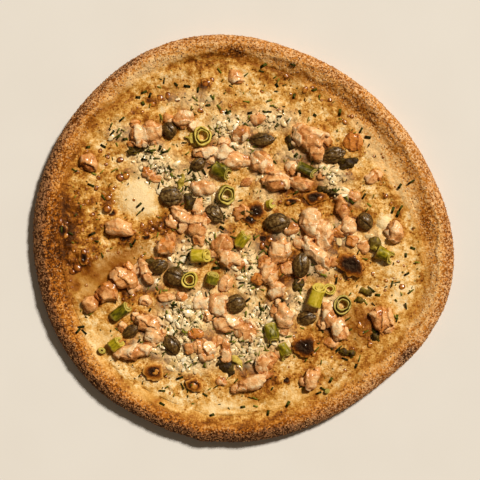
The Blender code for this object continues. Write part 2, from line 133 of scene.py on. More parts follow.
coarse = np.arange(DIRECTIONS) * 2 * np.pi / DIRECTIONS
rim_x, rim_y = outline(coarse) * np.cos(coarse), outline(coarse) * np.sin(coarse)
middle = Vector(((rim_x.max() + rim_x.min()) / 2, (rim_y.max() + rim_y.min()) / 2, 0))
print("the dough's box is centred on", [round(side, 2) for side in middle[:2]])

# %% [markdown]
# ## Places in the photograph
#
# The camera looks straight down, and one pixel of the 480 pixel picture covers 0.7 mm of the pizza.
# Spots, herbs and bubbles are therefore listed by the pixel where they are seen, and turned into
# millimetres here.

# %% From pixels to millimetres
PIXEL = 0.70
DOUGH_PIXEL = (242.5, 238.5)
SPOT_FALL = 1.4


def seen(px, py):
    """Millimetres round the dough's middle for a pixel of the photograph."""
    return (px - DOUGH_PIXEL[0]) * PIXEL, (DOUGH_PIXEL[1] - py) * PIXEL


def oval(x, y, centre, length, width, turn):
    """How far points lie from the middle of a turned oval, squared: 1 on its edge."""
    angle = math.radians(turn)
    along = (x - centre[0]) * math.cos(angle) + (y - centre[1]) * math.sin(angle)
    across = (y - centre[1]) * math.cos(angle) - (x - centre[0]) * math.sin(angle)
    return (2 * along / length) ** 2 + (2 * across / width) ** 2


def spots(x, y, table):
    """Adds up soft ovals, each given in pixels: x, y, length, width, turn and strength."""
    total = np.zeros(np.shape(x))
    for px, py, length, width, turn, strength in table:
        reach = oval(x, y, seen(px, py), length * PIXEL, width * PIXEL, turn)
        total += strength * np.exp(-SPOT_FALL * reach**1.5)
    return total


def covered(x, y, table, less=0):
    """How far the soft ovals of a table cover each point, from 0 to 1."""
    return np.clip(spots(x, y, table) - less, 0, 1)


# %% [markdown]
# ## Camera, light and floor
#
# The picture was taken from right above, with the light low on the upper right: it rakes over the
# rim, leaves the lower left side in shade and darkens the slope that faces away from it. A far
# camera with a long lens keeps the sides of the rim from leaning outwards.

# %% Aim the camera
VIEW_PIXELS = 480
CAMERA_HEIGHT = 1.5
FOCUS_HEIGHT = 10
SENSOR = 36.0
scene = bpy.context.scene


def in_scene(name, data):
    """Links new data to the scene as an object."""
    made = bpy.data.objects.new(name, data)
    scene.collection.objects.link(made)
    return made


lens = bpy.data.cameras.new("above")
lens.sensor_width = SENSOR
lens.lens = SENSOR * CAMERA_HEIGHT / (VIEW_PIXELS * PIXEL * MM)
camera = in_scene("above", lens)
aim_x, aim_y = seen(VIEW_PIXELS / 2, VIEW_PIXELS / 2)
aim = ((aim_x - middle.x) * MM, (aim_y - middle.y) * MM, CAMERA_HEIGHT + FOCUS_HEIGHT * MM)
camera.location = aim
bpy.context.scene.camera = camera
print("lens in mm:", round(lens.lens, 1))

# %% Light and floor
SUN_HEADING = 48
SUN_HEIGHT = 49
SUN_SPREAD = 10
SUN_POWER = 3.85
SUN_COLOUR = (1.0, 0.94, 0.84)
ROOM_COLOUR = (1.0, 0.80, 0.56, 1)
ROOM_POWER = 0.11
FLOOR_HALF = 3
FLOOR_DROP = 0.5

window = bpy.data.lights.new("window", "SUN")
window.energy = SUN_POWER
window.angle = math.radians(SUN_SPREAD)
window.color = SUN_COLOUR
sun = in_scene("window", window)
heading, height = math.radians(SUN_HEADING), math.radians(SUN_HEIGHT)
level = math.cos(height)
towards = Vector((math.cos(heading) * level, math.sin(heading) * level, math.sin(height)))
sun.rotation_mode = "QUATERNION"
sun.rotation_quaternion = towards.to_track_quat("Z", "Y")

room = bpy.data.worlds.new("room")
room.use_nodes = True
background = room.node_tree.nodes["Background"]
background.inputs["Color"].default_value = ROOM_COLOUR
background.inputs["Strength"].default_value = ROOM_POWER
scene.world = room
scene.view_settings.view_transform = "Standard"

bm = bmesh.new()
bmesh.ops.create_grid(bm, x_segments=1, y_segments=1, size=FLOOR_HALF)
floor_mesh = bpy.data.meshes.new("floor")
bm.to_mesh(floor_mesh)
bm.free()
floor = in_scene("floor", floor_mesh)
floor.location.z = -FLOOR_DROP * MM
print("the light stands", SUN_HEIGHT, "degrees above the floor")

# %% [markdown]
# ## Shader maths in Python
#
# A material here is a set of nodes. Wiring them one by one hides what they work out, so a small
# class wraps a socket and lets + - * / build the Math nodes, and one method adds any other node.


# %% A class for sockets
class Wire:
    """The value of a socket in a material, which takes part in Python expressions."""

    def __init__(self, tree, socket):
        self.tree = tree
        self.socket = socket

    def node(self, kind, settings, sockets, output=0):
        """Adds a node: its type, its settings, and the values or wires of its sockets."""
        made = self.tree.nodes.new(kind)
        for name, value in settings.items():
            if name == "stops":
                set_stops(made.color_ramp, value)
            else:
                setattr(made, name, value)
        for name, value in sockets.items():
            join(self.tree, value, made.inputs[name])
        return Wire(self.tree, made.outputs[output])

    def math(self, operation, first, second, clamp=False):
        settings = {"operation": operation, "use_clamp": clamp}
        return self.node("ShaderNodeMath", settings, {0: first, 1: second})

    def __add__(self, other):
        return self.math("ADD", self, other)

    def __sub__(self, other):
        return self.math("SUBTRACT", self, other)

    def __mul__(self, other):
        return self.math("MULTIPLY", self, other)

    def __rsub__(self, other):
        return self.math("SUBTRACT", other, self)

    __radd__ = __add__
    __rmul__ = __mul__

    def clamped(self):
        return self.math("ADD", self, 0.0, clamp=True)

    def ramp(self, *stops):
        """A colour for each value: every stop is a place from 0 to 1 and a screen colour."""
        return self.node("ShaderNodeValToRGB", {"stops": stops}, {"Fac": self})

    def step(self, low, high):
        """0 below low, 1 above high, and a soft rise between them."""
        settings = {"interpolation_type": "SMOOTHSTEP"}
        return self.node("ShaderNodeMapRange", settings, {0: self, 1: low, 2: high})

    def mix(self, first, second, blend="MIX"):
        """Two colours mixed by this value."""
        settings = {"data_type": "RGBA", "blend_type": blend}
        return self.node("ShaderNodeMix", settings, {0: self, 6: first, 7: second}, output=2)

    def coat(self, under, *tint, blend="MIX"):
        """Lays a screen colour over the colour under it, as far as this value says."""
        return self.mix(under, paint(*tint), blend)


def join(tree, value, socket):
    """Wires a value to a socket, or sets the socket to a number or a colour."""
    if isinstance(value, Wire):
        tree.links.new(value.socket, socket)
    elif isinstance(value, tuple):
        socket.default_value = (*value, 1) if socket.type == "RGBA" else value
    else:
        socket.default_value = value


def paint(red, green, blue):
    """The light values of a colour that was read from a screen as 0 to 255."""
    return tuple(((part / 255 + 0.055) / 1.055) ** 2.4 for part in (red, green, blue))


def set_stops(ramp, stops):
    """Gives a colour ramp its stops."""
    while len(ramp.elements) < len(stops):
        ramp.elements.new(1.0)
    for element, (place, *tint) in zip(ramp.elements, stops):
        element.position = place
        element.color = (*paint(*tint), 1)


# %% A material with its noises
class Finish:
    """A material whose patterns are laid out in millimetres on the object's own coordinates."""

    def __init__(self, name):
        self.material = bpy.data.materials.new(name)
        self.material.use_nodes = True
        self.tree = self.material.node_tree
        self.shader = self.tree.nodes["Principled BSDF"]
        start = Wire(self.tree, None)
        self.place = start.node("ShaderNodeTexCoord", {}, {}, output="Object")

    def noise(self, size, detail=2.0, roughness=0.5, stretch=None):
        """Noise from 0 to 1 with patches of the given size."""
        place = self.place
        if stretch:
            place = place.node("ShaderNodeMapping", {}, {"Vector": place, "Scale": stretch})
        sockets = {"Vector": place, "Scale": 1 / (size * MM), "Detail": detail, "Roughness": roughness}
        return place.node("ShaderNodeTexNoise", {}, sockets)

    def cells(self, size, output="Distance"):
        """Grains of the given size: the distance to each one's middle, or its own colour."""
        sockets = {"Vector": self.place, "Scale": 1 / (size * MM)}
        return self.place.node("ShaderNodeTexVoronoi", {}, sockets, output)

    def field(self, name):
        """A number that the mesh holds at each point."""
        return self.place.node("ShaderNodeAttribute", {"attribute_name": name}, {}, output="Fac")

    def wire(self, **sockets):
        """Sets or wires the shader's sockets: Base_Color is its Base Color socket, and so on."""
        for name, value in sockets.items():
            join(self.tree, value, self.shader.inputs[name.replace("_", " ")])

    def bump(self, height, depth):
        """Ends a finish with relief, from a height of 0 to 1, that is depth millimetres deep."""
        sockets = {"Height": height, "Distance": depth * MM, "Strength": 1.0}
        self.wire(Normal=height.node("ShaderNodeBump", {}, sockets))
        print(self.material.name, "has", len(self.tree.nodes), "nodes")


pale_floor = Finish("pale floor")
cloudy = pale_floor.noise(60.0).coat(paint(232, 228, 222), 226, 221, 214)
pale_floor.wire(Base_Color=cloudy, Roughness=0.6)
floor_mesh.materials.append(pale_floor.material)
print("floor material:", pale_floor.material.name)

# %% [markdown]
# ## Noise for the meshes
#
# Relief that shows in outline has to be in the mesh, so the same kinds of pattern are needed in
# Python. Each whole-numbered cell of space gets a repeatable random number. Blending them gives
# soft hills, and scattering a point in each cell gives grains with seams between them.

# %% Hills and grains
PRIMES = (73856093, 19349663, 83492791, 40503)
MIXERS = (2246822519, 3266489917)
LONGEST = 0xFFFFFFFF
FAR = 9.0


def stacked(*columns):
    """Columns of numbers side by side. A single number fills its whole column."""
    return np.stack(np.broadcast_arrays(*columns), axis=-1)


def chance(cells, salt):
    """A repeatable random share, from 0 to 1, for each whole-numbered cell."""
    x, y, z = (cells[..., axis].astype(np.int64) for axis in range(3))
    code = (x * PRIMES[0] ^ y * PRIMES[1] ^ z * PRIMES[2] ^ salt * PRIMES[3]) & LONGEST
    code = ((code ^ code >> 15) * MIXERS[0]) & LONGEST
    code = ((code ^ code >> 13) * MIXERS[1]) & LONGEST
    return (code ^ code >> 16) / LONGEST


def hills(points, size, salt):
    """Soft noise from -1 to 1 with hills of the given size."""
    place = points / size
    cell = np.floor(place)
    share = place - cell
    share = share * share * (3 - 2 * share)
    total = 0
    for corner in itertools.product((0, 1), repeat=3):
        weight = np.prod(np.where(np.array(corner), share, 1 - share), axis=-1)
        total = total + weight * chance(cell + corner, salt)
    return 2 * total - 1


def wander(points, size, salt):
    """A different soft push at each point, for bending straight seams."""
    return stacked(*(hills(points, size, salt + axis) for axis in range(3)))


def grains(points, size, salt, flat=False):
    """Distance to the nearest grain's middle, width of the seam beside it, and its own number."""
    place = points / size
    cell = np.floor(place)
    nearest, second = np.full((2, len(points)), FAR)
    number = np.zeros(len(points))
    for step in itertools.product((-1, 0, 1), (-1, 0, 1), (0,) if flat else (-1, 0, 1)):
        there = cell + step
        offset = stacked(*(chance(there, salt + axis) for axis in (1, 2, 3)))
        away = (place - there - offset)[:, : 2 if flat else 3]
        away = np.sqrt((away**2).sum(axis=1))
        closer = away < nearest
        second = np.where(closer, nearest, np.minimum(second, away))
        number = np.where(closer, chance(there, salt), number)
        nearest = np.where(closer, away, nearest)
    return nearest, second - nearest, number


def soft_step(value, low, high):
    """0 below low, 1 above high, and a soft rise between them."""
    share = np.clip((value - low) / (high - low), 0, 1)
    return share * share * (3 - 2 * share)


# %% [markdown]
# ## From a mesh to a piece
#
# Every piece ends in the same way: it is moved so that the dough's box is centred, scaled to
# metres, given its material and told which body it rides on, and any solids it stands for are hidden.


# %% Meshes in and out
def mesh_of(name, bm):
    """The mesh that a bmesh holds, with its faces pointing outwards."""
    bmesh.ops.recalc_face_normals(bm, faces=bm.faces)
    mesh = bpy.data.meshes.new(name)
    bm.to_mesh(mesh)
    bm.free()
    return mesh


def shape(name, create, **measures):
    """The mesh that one of the create operators makes."""
    bm = bmesh.new()
    create(bm, **measures)
    return mesh_of(name, bm)


def gathered(name, parts):
    """Joins meshes, and the numbers held at their points, into one mesh."""
    bm = bmesh.new()
    for part in parts:
        bm.from_mesh(part)
    mesh = bpy.data.meshes.new(name)
    bm.to_mesh(mesh)
    bm.free()
    return mesh


def rows_of(items, name):
    """Three numbers for each item, as rows."""
    flat = np.empty(len(items) * 3, np.float32)
    items.foreach_get(name, flat)
    return flat.reshape(-1, 3).astype(float)


def points_of(mesh):
    """The points of a mesh as rows of x, y and z."""
    return rows_of(mesh.vertices, "co")


def normals_of(mesh):
    """The outward direction at each point of a mesh."""
    return rows_of(mesh.vertex_normals, "vector")


def move_points(mesh, points):
    """Moves the points of a mesh to new places."""
    mesh.vertices.foreach_set("co", points.astype(np.float32).ravel())
    mesh.update()


def push(mesh, pushes):
    """Moves each point by what a function gives for it."""
    points = points_of(mesh)
    move_points(mesh, points + pushes(points))


def laid(place, turn):
    """The move that turns a piece about z, in degrees, and sets it at its place."""
    return Matrix.Translation(place) @ Matrix.Rotation(math.radians(turn), 4, "Z")


# %% Finish a piece
def hold(mesh, **fields):
    """Stores numbers at the points of a mesh, for its material to read."""
    for name, values in fields.items():
        layer = mesh.attributes.new(name, "FLOAT", "POINT")
        layer.data.foreach_set("value", np.full(len(mesh.vertices), values, np.float32))


def show(name, mesh, finish, slot, *nodes):
    """Shows a mesh, made in millimetres, as a piece that stands for the named solids."""
    mesh.transform(Matrix.Scale(MM, 4) @ Matrix.Translation(-middle))
    mesh.materials.clear()
    mesh.materials.append(finish.material)
    mesh.shade_smooth()
    made = in_scene(name, mesh)
    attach(made, "root")
    if nodes:
        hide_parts(*nodes)
    mesh.calc_loop_triangles()
    print(name, "has", len(mesh.loop_triangles), "triangles")


# %% [markdown]
# ## What lies where on the cheese
#
# The oven leaves its marks unevenly: the left side is toasted brown, some bubbles have burnt, a
# few places stayed smooth, and white curds with herbs lie in drifts between the salmon. The table
# of toasted spots also holds a few dark spots beside toppings that are painted shade. Each kind
# of mark has its own table of soft ovals in pixels: x, y, length, width, turn, strength.

# %% Tables of baked marks
TOASTED = (
    (82, 232, 42, 66, 0, 0.42), (78, 262, 40, 40, 20, 0.3), (150, 230, 70, 24, 20, 0.42),
    (63, 228, 12, 20, 0, 0.3), (165, 98, 40, 12, 12, 0.4), (206, 84, 14, 12, 0, 0.55),
    (206, 55, 40, 14, 10, 0.3), (262, 80, 24, 14, 0, 0.15), (312, 72, 60, 14, -20, 0.28),
    (300, 96, 40, 18, 0, 0.16), (250, 106, 40, 16, 0, 0.22), (345, 118, 40, 26, -30, 0.16),
    (118, 172, 26, 26, 0, 0.2), (106, 196, 18, 30, 0, 0.34), (100, 155, 30, 14, 0, 0.12),
    (292, 200, 26, 12, 0, 0.3), (312, 196, 40, 22, 0, 0.25), (252, 214, 26, 24, 30, 0.35),
    (265, 238, 30, 26, 0, 0.3), (351, 265, 42, 34, 0, 0.22), (305, 345, 42, 34, 0, 0.28),
    (362, 325, 40, 46, 0, 0.34), (352, 352, 50, 16, 30, 0.3), (130, 300, 24, 26, 0, 0.22),
    (118, 318, 24, 22, 0, 0.26), (156, 372, 30, 20, 0, 0.28), (193, 385, 26, 18, 0, 0.3),
    (196, 342, 36, 26, 0, 0.22), (168, 290, 50, 22, 10, 0.28), (205, 355, 30, 16, 0, 0.2),
    (262, 150, 24, 24, 0, 0.2), (330, 240, 30, 20, 0, 0.18), (288, 270, 26, 30, 0, 0.12),
    (118, 392, 50, 10, 35, 0.2), (293, 376, 16, 12, 0, 0.28), (385, 185, 24, 24, 0, 0.14),
    (140, 197, 46, 46, 0, -0.24), (400, 274, 34, 56, 0, -0.14), (130, 112, 50, 30, -40, 0.14),
    (324, 336, 26, 50, 0, 0.08), (240, 408, 120, 16, 0, -0.06), (100, 345, 60, 26, -50, -0.06),
    (170, 395, 50, 8, 25, 0.16), (128, 155, 20, 14, 0, 0.1), (232, 118, 24, 10, 0, 0.22),
    (384, 223, 18, 16, 0, -0.3), (85, 195, 24, 60, 0, 0.1), (400, 200, 20, 40, 0, 0.1),
    # Some rows below are painted shade beside toppings rather than toasting: (348, 177), (293, 160),
    # (366, 195) and (112, 285).
    (401, 175, 18, 32, 15, 0.45), (384, 155, 28, 20, -30, 0.28), (348, 177, 16, 12, 0, 0.36),
    (293, 160, 14, 22, 0, 0.34), (366, 195, 18, 12, 0, 0.24), (167, 303, 24, 14, 0, 0.45),
    (186, 301, 18, 14, 0, 0.5), (112, 285, 16, 10, 0, 0.38), (114, 247, 32, 10, 15, 0.24),
    (94, 249, 22, 14, 0, 0.32), (75, 285, 14, 16, 0, 0.28), (77, 321, 20, 26, 0, -0.18),
    (165, 69, 26, 10, 25, 0.22), (239, 104, 20, 10, 0, 0.22), (311, 121, 20, 14, 0, -0.18),
    (183, 375, 18, 12, 0, 0.24), (226, 152, 26, 12, -30, 0.26), (385, 305, 24, 22, 0, -0.14),
    (272, 374, 18, 14, 0, -0.18), (204, 321, 16, 12, 0, 0.22),
)
BURNT = (
    (351, 265, 25, 17, -20, 1), (305, 346.5, 21, 17, 10, 1), (315, 197, 20, 10, 10, 0.95),
    (256, 211, 13, 16, 50, 0.95), (250, 219, 10, 14, 60, 0.75), (263, 239, 12, 10, 0, 0.75),
    (154, 371.5, 14, 13, 0, 0.65), (194, 385, 14, 10, 0, 0.65), (286, 380, 8, 7, 0, 0.6),
    (168, 226, 13, 7, 25, 0.7), (62, 230, 8, 13, 10, 0.75), (84, 257, 8, 11, 0, 0.8),
    (74, 271, 11, 8, 0, 0.7), (206, 84, 8, 7, 0, 0.6), (292, 201, 12, 5, 0, 0.6),
    (123, 239, 9, 6, 0, 0.6), (147, 237, 9, 5, 20, 0.45), (112, 213, 8, 8, 0, 0.4),
)
CURDLED = (
    (158, 172, 56, 46, -30, 1), (148, 150, 34, 22, 0, 0.8), (228, 128, 44, 30, 0, 1),
    (270, 120, 60, 26, 0, 0.8), (196, 185, 34, 42, 0, 0.9), (240, 150, 40, 26, 0, 0.7),
    (330, 172, 44, 18, -20, 1), (340, 192, 46, 14, -30, 0.8), (218, 205, 40, 34, 0, 0.8),
    (205, 240, 40, 34, 0, 0.8), (182, 262, 30, 40, 0, 0.8), (250, 270, 30, 60, 0, 0.9),
    (200, 310, 70, 44, 0, 1), (175, 330, 50, 50, 0, 1), (245, 345, 56, 46, 0, 1),
    (262, 320, 50, 34, 0, 1), (190, 360, 60, 26, 0, 0.9), (150, 345, 40, 24, 0, 0.7),
    (298, 300, 26, 36, 0, 0.7), (320, 265, 40, 30, 0, 0.7), (340, 230, 30, 24, 0, 0.6),
    (120, 132, 30, 20, 0, 0.5), (196, 100, 60, 22, 0, 0.45), (290, 155, 30, 20, 0, 0.5),
    (265, 195, 30, 20, 0, 0.4), (232, 262, 20, 30, 0, 0.7), (150, 280, 30, 20, 0, 0.5),
    (328, 306, 26, 40, 0, 0.6), (352, 240, 24, 20, 0, 0.5), (288, 232, 30, 26, 0, 0.6),
    (266, 172, 34, 24, 0, 0.5), (375, 240, 18, 26, 0, 0.5), (282, 340, 26, 34, 0, 0.5),
)
SMOOTH = (
    (140, 197, 44, 44, 0, 1.2), (108, 270, 92, 26, 20, 1.1), (88, 285, 50, 26, 20, 0.9),
    (100, 345, 40, 50, -50, 0.8), (150, 400, 80, 22, -25, 0.9), (225, 408, 80, 18, 5, 0.9),
    (300, 395, 60, 18, 20, 0.7), (92, 160, 20, 30, 60, 0.6), (395, 250, 40, 60, 0, 0.4),
    (384, 223, 14, 12, 0, 0.9), (362, 325, 38, 44, 0, 0.6), (400, 300, 30, 40, 0, 0.4),
)
OILY = (
    (108, 268, 96, 34, 20, 0.8), (130, 250, 60, 14, 15, 0.4), (362, 325, 42, 50, 0, 0.8),
    (300, 76, 90, 18, -18, 0.7), (250, 350, 40, 40, 0, 0.3), (335, 375, 50, 20, 25, 0.4),
    (88, 300, 40, 24, 10, 0.5), (175, 82, 50, 18, 20, 0.4), (325, 168, 40, 20, 0, 0.4),
)
print(len(TOASTED) + len(BURNT), "baked marks")

# %% [markdown]
# The rim has its own browning, given every 30 degrees: on its outside, on its inner slope, and how
# many millimetres in the brown and the flour reach. It is darkest on the left. On the outside of the
# left and lower left, away from the light, that darkness is partly painted shade, and the flour is
# thinned there with it. The outer band is dusty with grains, the slope inside it golden brown, and
# the colour fades into the cheese.

# %% Marks for any point
# How brown the outside of the rim is, every 30 degrees. The high values on the left and lower left, away
# from the light, are partly painted shade.
OUTER_BROWNING = (0.56, 0.4, 0.42, 0.43, 0.53, 0.8, 1.05, 1.12, 0.96, 1.12, 0.68, 0.48)
INNER_BROWNING = (0.26, 0.36, 0.4, 0.26, 0.14, 0.42, 0.66, 0.56, 0.5, 0.58, 0.36, 0.26)
BROWN_REACH = (24, 21, 22, 27, 16, 21, 30, 17, 15, 17, 17, 21)
BARE_REACH = (22, 31, 20, 15, 14, 15, 20, 18, 13, 12, 14, 16)
RIM_SPOTS = (
    (231, 52, 34, 12, -5, 0.58), (258, 50, 30, 8, -10, 0.25), (200, 50, 30, 8, 10, 0.2),
    (130, 60, 60, 14, 40, 0.25), (407, 355, 26, 14, 45, 0.55), (360, 108, 26, 12, -40, 0.25),
    (425, 215, 16, 36, 0, 0.25), (345, 82, 30, 10, -30, 0.15), (95, 120, 16, 40, -35, 0.15),
    (280, 430, 60, 8, 0, 0.15), (50, 240, 34, 100, 0, 0.22), (66, 236, 16, 44, 5, 0.2),
)
JUICE_SPREAD = 1.35


def corners_of(box):
    """The lowest and highest corner of a box, in millimetres round the dough's middle."""
    return [Vector(corner) / MM + middle for corner in box]


# Each salmon lump and caper gets a soft darker oval round it: partly juice stains, partly painted shade
# round the topping.
juices = []
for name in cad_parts:
    if name.startswith(("salmon", "caper")):
        low, high = corners_of(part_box(name))
        centre, wide = (low + high) / 2, JUICE_SPREAD * (high - low) / PIXEL
        px, py = DOUGH_PIXEL[0] + centre.x / PIXEL, DOUGH_PIXEL[1] - centre.y / PIXEL
        juices.append((px, py, wide.x, wide.y, 0, 1.0))
print(len(juices), "stains of juice round the toppings")


def baked_marks(x, y):
    """What the oven did at each point, with painted shade round the toppings and on the rim's shaded
    side mixed in, each mark from 0 to 1.
    """
    turn, radius = np.arctan2(y, x), np.hypot(x, y)
    flat = stacked(x, y, 0)
    drift = 0.6 * hills(flat, 9, 1) + 0.4 * hills(flat, 3.6, 2)
    fine = hills(flat, 1.9, 3)
    inset = outline(turn) - radius + 2.5 * drift
    stretched = stacked(11 * np.cos(turn), 11 * np.sin(turn), inset / 2.3)
    wrinkle = hills(stretched, 1.0, 5) * soft_step(inset, 5, 10) * (1 - soft_step(inset, 20, 30))
    # outer reads the outer browning, which on the lower left is partly painted shade.
    outer, reach, floury = (
        around(ring, turn) for ring in (OUTER_BROWNING, BROWN_REACH, BARE_REACH)
    )
    bare = 1 - soft_step(inset, floury - 4, floury + 4)
    dust = 1 - soft_step(inset, 0.3 * floury - 1, np.minimum(0.9 * floury, 12))
    inner = soft_step(inset, 3, 11)
    rim = outer * (1 - inner) + around(INNER_BROWNING, turn) * inner
    rim = rim * (1 - soft_step(inset, reach - 6, reach + 6)) + spots(x, y, RIM_SPOTS)
    rough = 0.5 + 0.5 * drift + 0.45 * fine
    smooth = covered(x, y, SMOOTH) * (1 - bare)
    baked = 0.24 + 0.10 * drift + spots(x, y, TOASTED) * (0.45 + rough)
    baked = baked + covered(x, y, juices) * (0.24 + 0.34 * rough) - 0.08 * smooth
    brown = rim + 0.08 * drift + 0.2 * wrinkle + (1 - bare) * baked * (1 - rim)
    return {
        "bare": bare,
        # The flour is thinned where the outer browning is high, so it follows the painted shade on the
        # lower left.
        "dust": dust * (1.4 - outer),
        "wrinkle": wrinkle,
        "brown": np.clip(brown, 0, 1),
        "burnt": soft_step(spots(x, y, BURNT) + 0.16 * drift + 0.10 * fine, 0.42, 0.85),
        "curd": covered(x, y, CURDLED) * (1 - smooth) * (1 - bare),
        "smooth": smooth,
        "oily": covered(x, y, OILY) * (1 - bare),
    }


# %% [markdown]
# ## The dough
#
# The rim is one closed body with a rounded section. A fine ball has just the right net of faces:
# its rings become the stations of the section, from the middle of the underside, round the rim and
# back to the middle under the cheese. The big swells are those of the solid. The pits of the crust
# are pressed inwards only, so that the dough never grows past its solid.

# %% Squeeze a ball into the dough's section
ROUND_STEPS = 1000
FLAT_RINGS = 8
UNDER_RINGS = 10
OUTER_RINGS = 26
SLOPE_RINGS = 24
HIDDEN_RINGS = 4
SLOPE_END = 0.88
DIVE_START = 0.78
DIVE = 2.5
STATIONS = FLAT_RINGS + UNDER_RINGS + OUTER_RINGS + SLOPE_RINGS + HIDDEN_RINGS


def dough_section(turn, station):
    """Radius and height of the dough's skin at each station, counted from the underside's middle."""
    outer, top = outline(turn), around(RIM_HEIGHTS, turn)
    crest = rim_slope(turn, 0)[0]
    past_under = station - FLAT_RINGS - UNDER_RINGS
    under = np.clip(1 - (station - FLAT_RINGS) / UNDER_RINGS, 0, 1) * np.pi / 2
    over = np.clip(past_under / OUTER_RINGS, 0, 1) * np.pi / 2
    down = np.clip((past_under - OUTER_RINGS) / SLOPE_RINGS, 0, 1)
    inwards = np.clip((STATIONS - station) / HIDDEN_RINGS, 0, 1)
    below = outer - TUCK * (1 - np.cos(under))
    below = below * np.clip(station / FLAT_RINGS, 0, 1)
    above = crest + (outer - crest) * np.cos(over)
    slope = rim_slope(turn, down * SLOPE_END)
    dive = DIVE * soft_step(down * SLOPE_END, DIVE_START, SLOPE_END)
    radius = np.where(over > 0, above, below)
    height = WAIST_HEIGHT + (top - WAIST_HEIGHT) * np.sin(over)
    height = np.where(over > 0, height, WAIST_HEIGHT * (1 - np.sin(under)))
    radius = np.where(down > 0, slope[0], radius)
    height = np.where(down > 0, eased(slope[1]) - dive, height)
    return radius * inwards, BASE_HEIGHT + (height - BASE_HEIGHT) * np.where(down > 0, inwards, 1)


dough = shape(
    "dough", bmesh.ops.create_uvsphere, u_segments=ROUND_STEPS, v_segments=STATIONS, radius=1
)
ball_x, ball_y, ball_z = points_of(dough).T
station = STATIONS * (1 - np.arccos(np.clip(ball_z, -1, 1)) / np.pi)
turn = np.arctan2(ball_y, ball_x)
radius, height = dough_section(turn, np.round(station))
skin = stacked(radius * np.cos(turn), radius * np.sin(turn), height)
print("the dough's skin has", len(skin), "points")

# %% Swell the rim and press its pits
PIT_SIZES = ((0.55, 5.0), (0.32, 2.2))
PIT_SEAM = 0.35
WRINKLE_DEPTH = 0.35


def swell(points, share, height):
    """The solid's own swells, which fade out down the inner slope and at the waist."""
    rise = np.zeros(len(points))
    fade = np.clip(height / WAIST_HEIGHT, 0, 1) * (1 - soft_step(share, 0.4, 0.62))
    for index in np.nonzero(fade)[0]:
        point = Vector(points[index])
        for reach, size in RIM_LUMPS:
            rise[index] += reach * noise.noise(point / size)
    return rise * fade * height / RIM_HEIGHTS[0]


share = slope_share(turn, radius)
skin[:, 2] += swell(skin, share, height)
move_points(dough, skin)
marks = baked_marks(skin[:, 0], skin[:, 1])
raised = np.clip(height / 2, 0, 1)
pits = sum(depth * (hills(skin, size, 11) - 1) / 2 for depth, size in PIT_SIZES)
seams = PIT_SEAM * np.exp(-grains(skin, 1.5, 15)[1] * 5)
pits = (pits - seams * marks["bare"]) * raised * (1 - 0.7 * soft_step(share, 0.45, 0.7))
pits -= WRINKLE_DEPTH * np.clip(marks["wrinkle"], 0, 1) * raised
skin += normals_of(dough) * pits[:, None]
print("deepest pit in mm:", round(float(-pits.min()), 2))

# %% [markdown]
# ### Baked surface
#
# The dough and the cheese run into each other without a line, because both were baked in the same
# oven. So they share one material, and the marks held at the points decide what it does: a ramp
# goes from cream through gold to dark brown, fine grains speckle the bare crust, curds turn white,
# oil turns the cheese olive and glassy, and the burnt bubbles end up black and shiny.

# %% Baked material
GOLDEN = (
    (0.0, 252, 224, 172), (0.12, 245, 206, 142), (0.25, 228, 177, 100), (0.4, 202, 143, 58),
    (0.58, 163, 97, 24), (0.78, 116, 60, 8), (1.0, 68, 32, 6),
)
CRUST = (
    (0.0, 246, 202, 138), (0.25, 228, 164, 88), (0.45, 198, 124, 42), (0.62, 162, 90, 16),
    (0.8, 118, 60, 6), (1.0, 62, 28, 3),
)
baked = Finish("baked dough and cheese")
bare, smooth, curd, burnt, oily, brown, lift, dust, wrinkle = map(
    baked.field, ("bare", "smooth", "curd", "burnt", "oily", "brown", "lift", "dust", "wrinkle")
)
speckle = baked.cells(1.1, output="Color")
speckle = speckle.node("ShaderNodeSeparateColor", {}, {"Color": speckle}, output="Red")
blotch = baked.noise(2.6, 4.0, 0.65)
fine = baked.noise(1.1, 3.0, 0.6)
mottle = baked.noise(6.5, 3.0, 0.6)
crumbly = (1 - smooth) * (1 - bare)
pore = baked.cells(3.4).step(0.30, 0.16) * blotch.step(0.42, 0.6) * crumbly
cheese_brown = brown + (blotch - 0.5) * (0.14 + crumbly * 0.9) + (fine - 0.5) * (0.3 + crumbly * 0.5)
cheese_brown = cheese_brown + (mottle - 0.5) * crumbly + pore * 0.36 + 0.03
crust_brown = brown + (0.5 - speckle) * (0.3 + brown * 0.46) + (blotch - 0.5) * 0.3
crust_brown = crust_brown + (fine - 0.5) * 0.4
colour = bare.mix(cheese_brown.ramp(*GOLDEN), crust_brown.ramp(*CRUST))

# %% Flour, cream, juice and char
floury = speckle.step(0.35, 0.85) * dust * 0.5
# Curds are laid whiter on the crests of the billows and dark olive in the hollows between them. The
# white is the curds' own, with painted light on the crests, and the hollows are painted shade.
milky = curd * (lift + (fine - 0.5) * 0.3).step(0.08, 0.42) * 0.9
hollow = curd * (0.34 - lift + (fine - 0.5) * 0.2).step(0.0, 0.3) * 0.85
juicy = curd * mottle.step(0.46, 0.6) * 0.45
herby = curd * baked.noise(1.9, 2.0, 0.6).step(0.53, 0.64) * 0.8
char = burnt + (blotch - 0.5) * 0.5 * burnt
colour = floury.coat(colour, 240, 200, 156)
colour = milky.coat(colour, 251, 226, 176)
colour = hollow.coat(colour, 108, 76, 22)
colour = juicy.coat(colour, 168, 124, 56, blend="MULTIPLY")
colour = herby.coat(colour, 86, 76, 18)
colour = (oily * 0.7).coat(colour, 160, 116, 52, blend="MULTIPLY")
colour = char.step(0.15, 0.5).coat(colour, 120, 54, 12)
colour = char.step(0.45, 0.8).coat(colour, 40, 15, 5)
rough = 0.42 - curd * 0.1 + bare * 0.42 + (fine - 0.5) * 0.3 - oily * 0.16 - burnt * 0.22
baked.wire(Base_Color=colour, Roughness=rough.clamped())
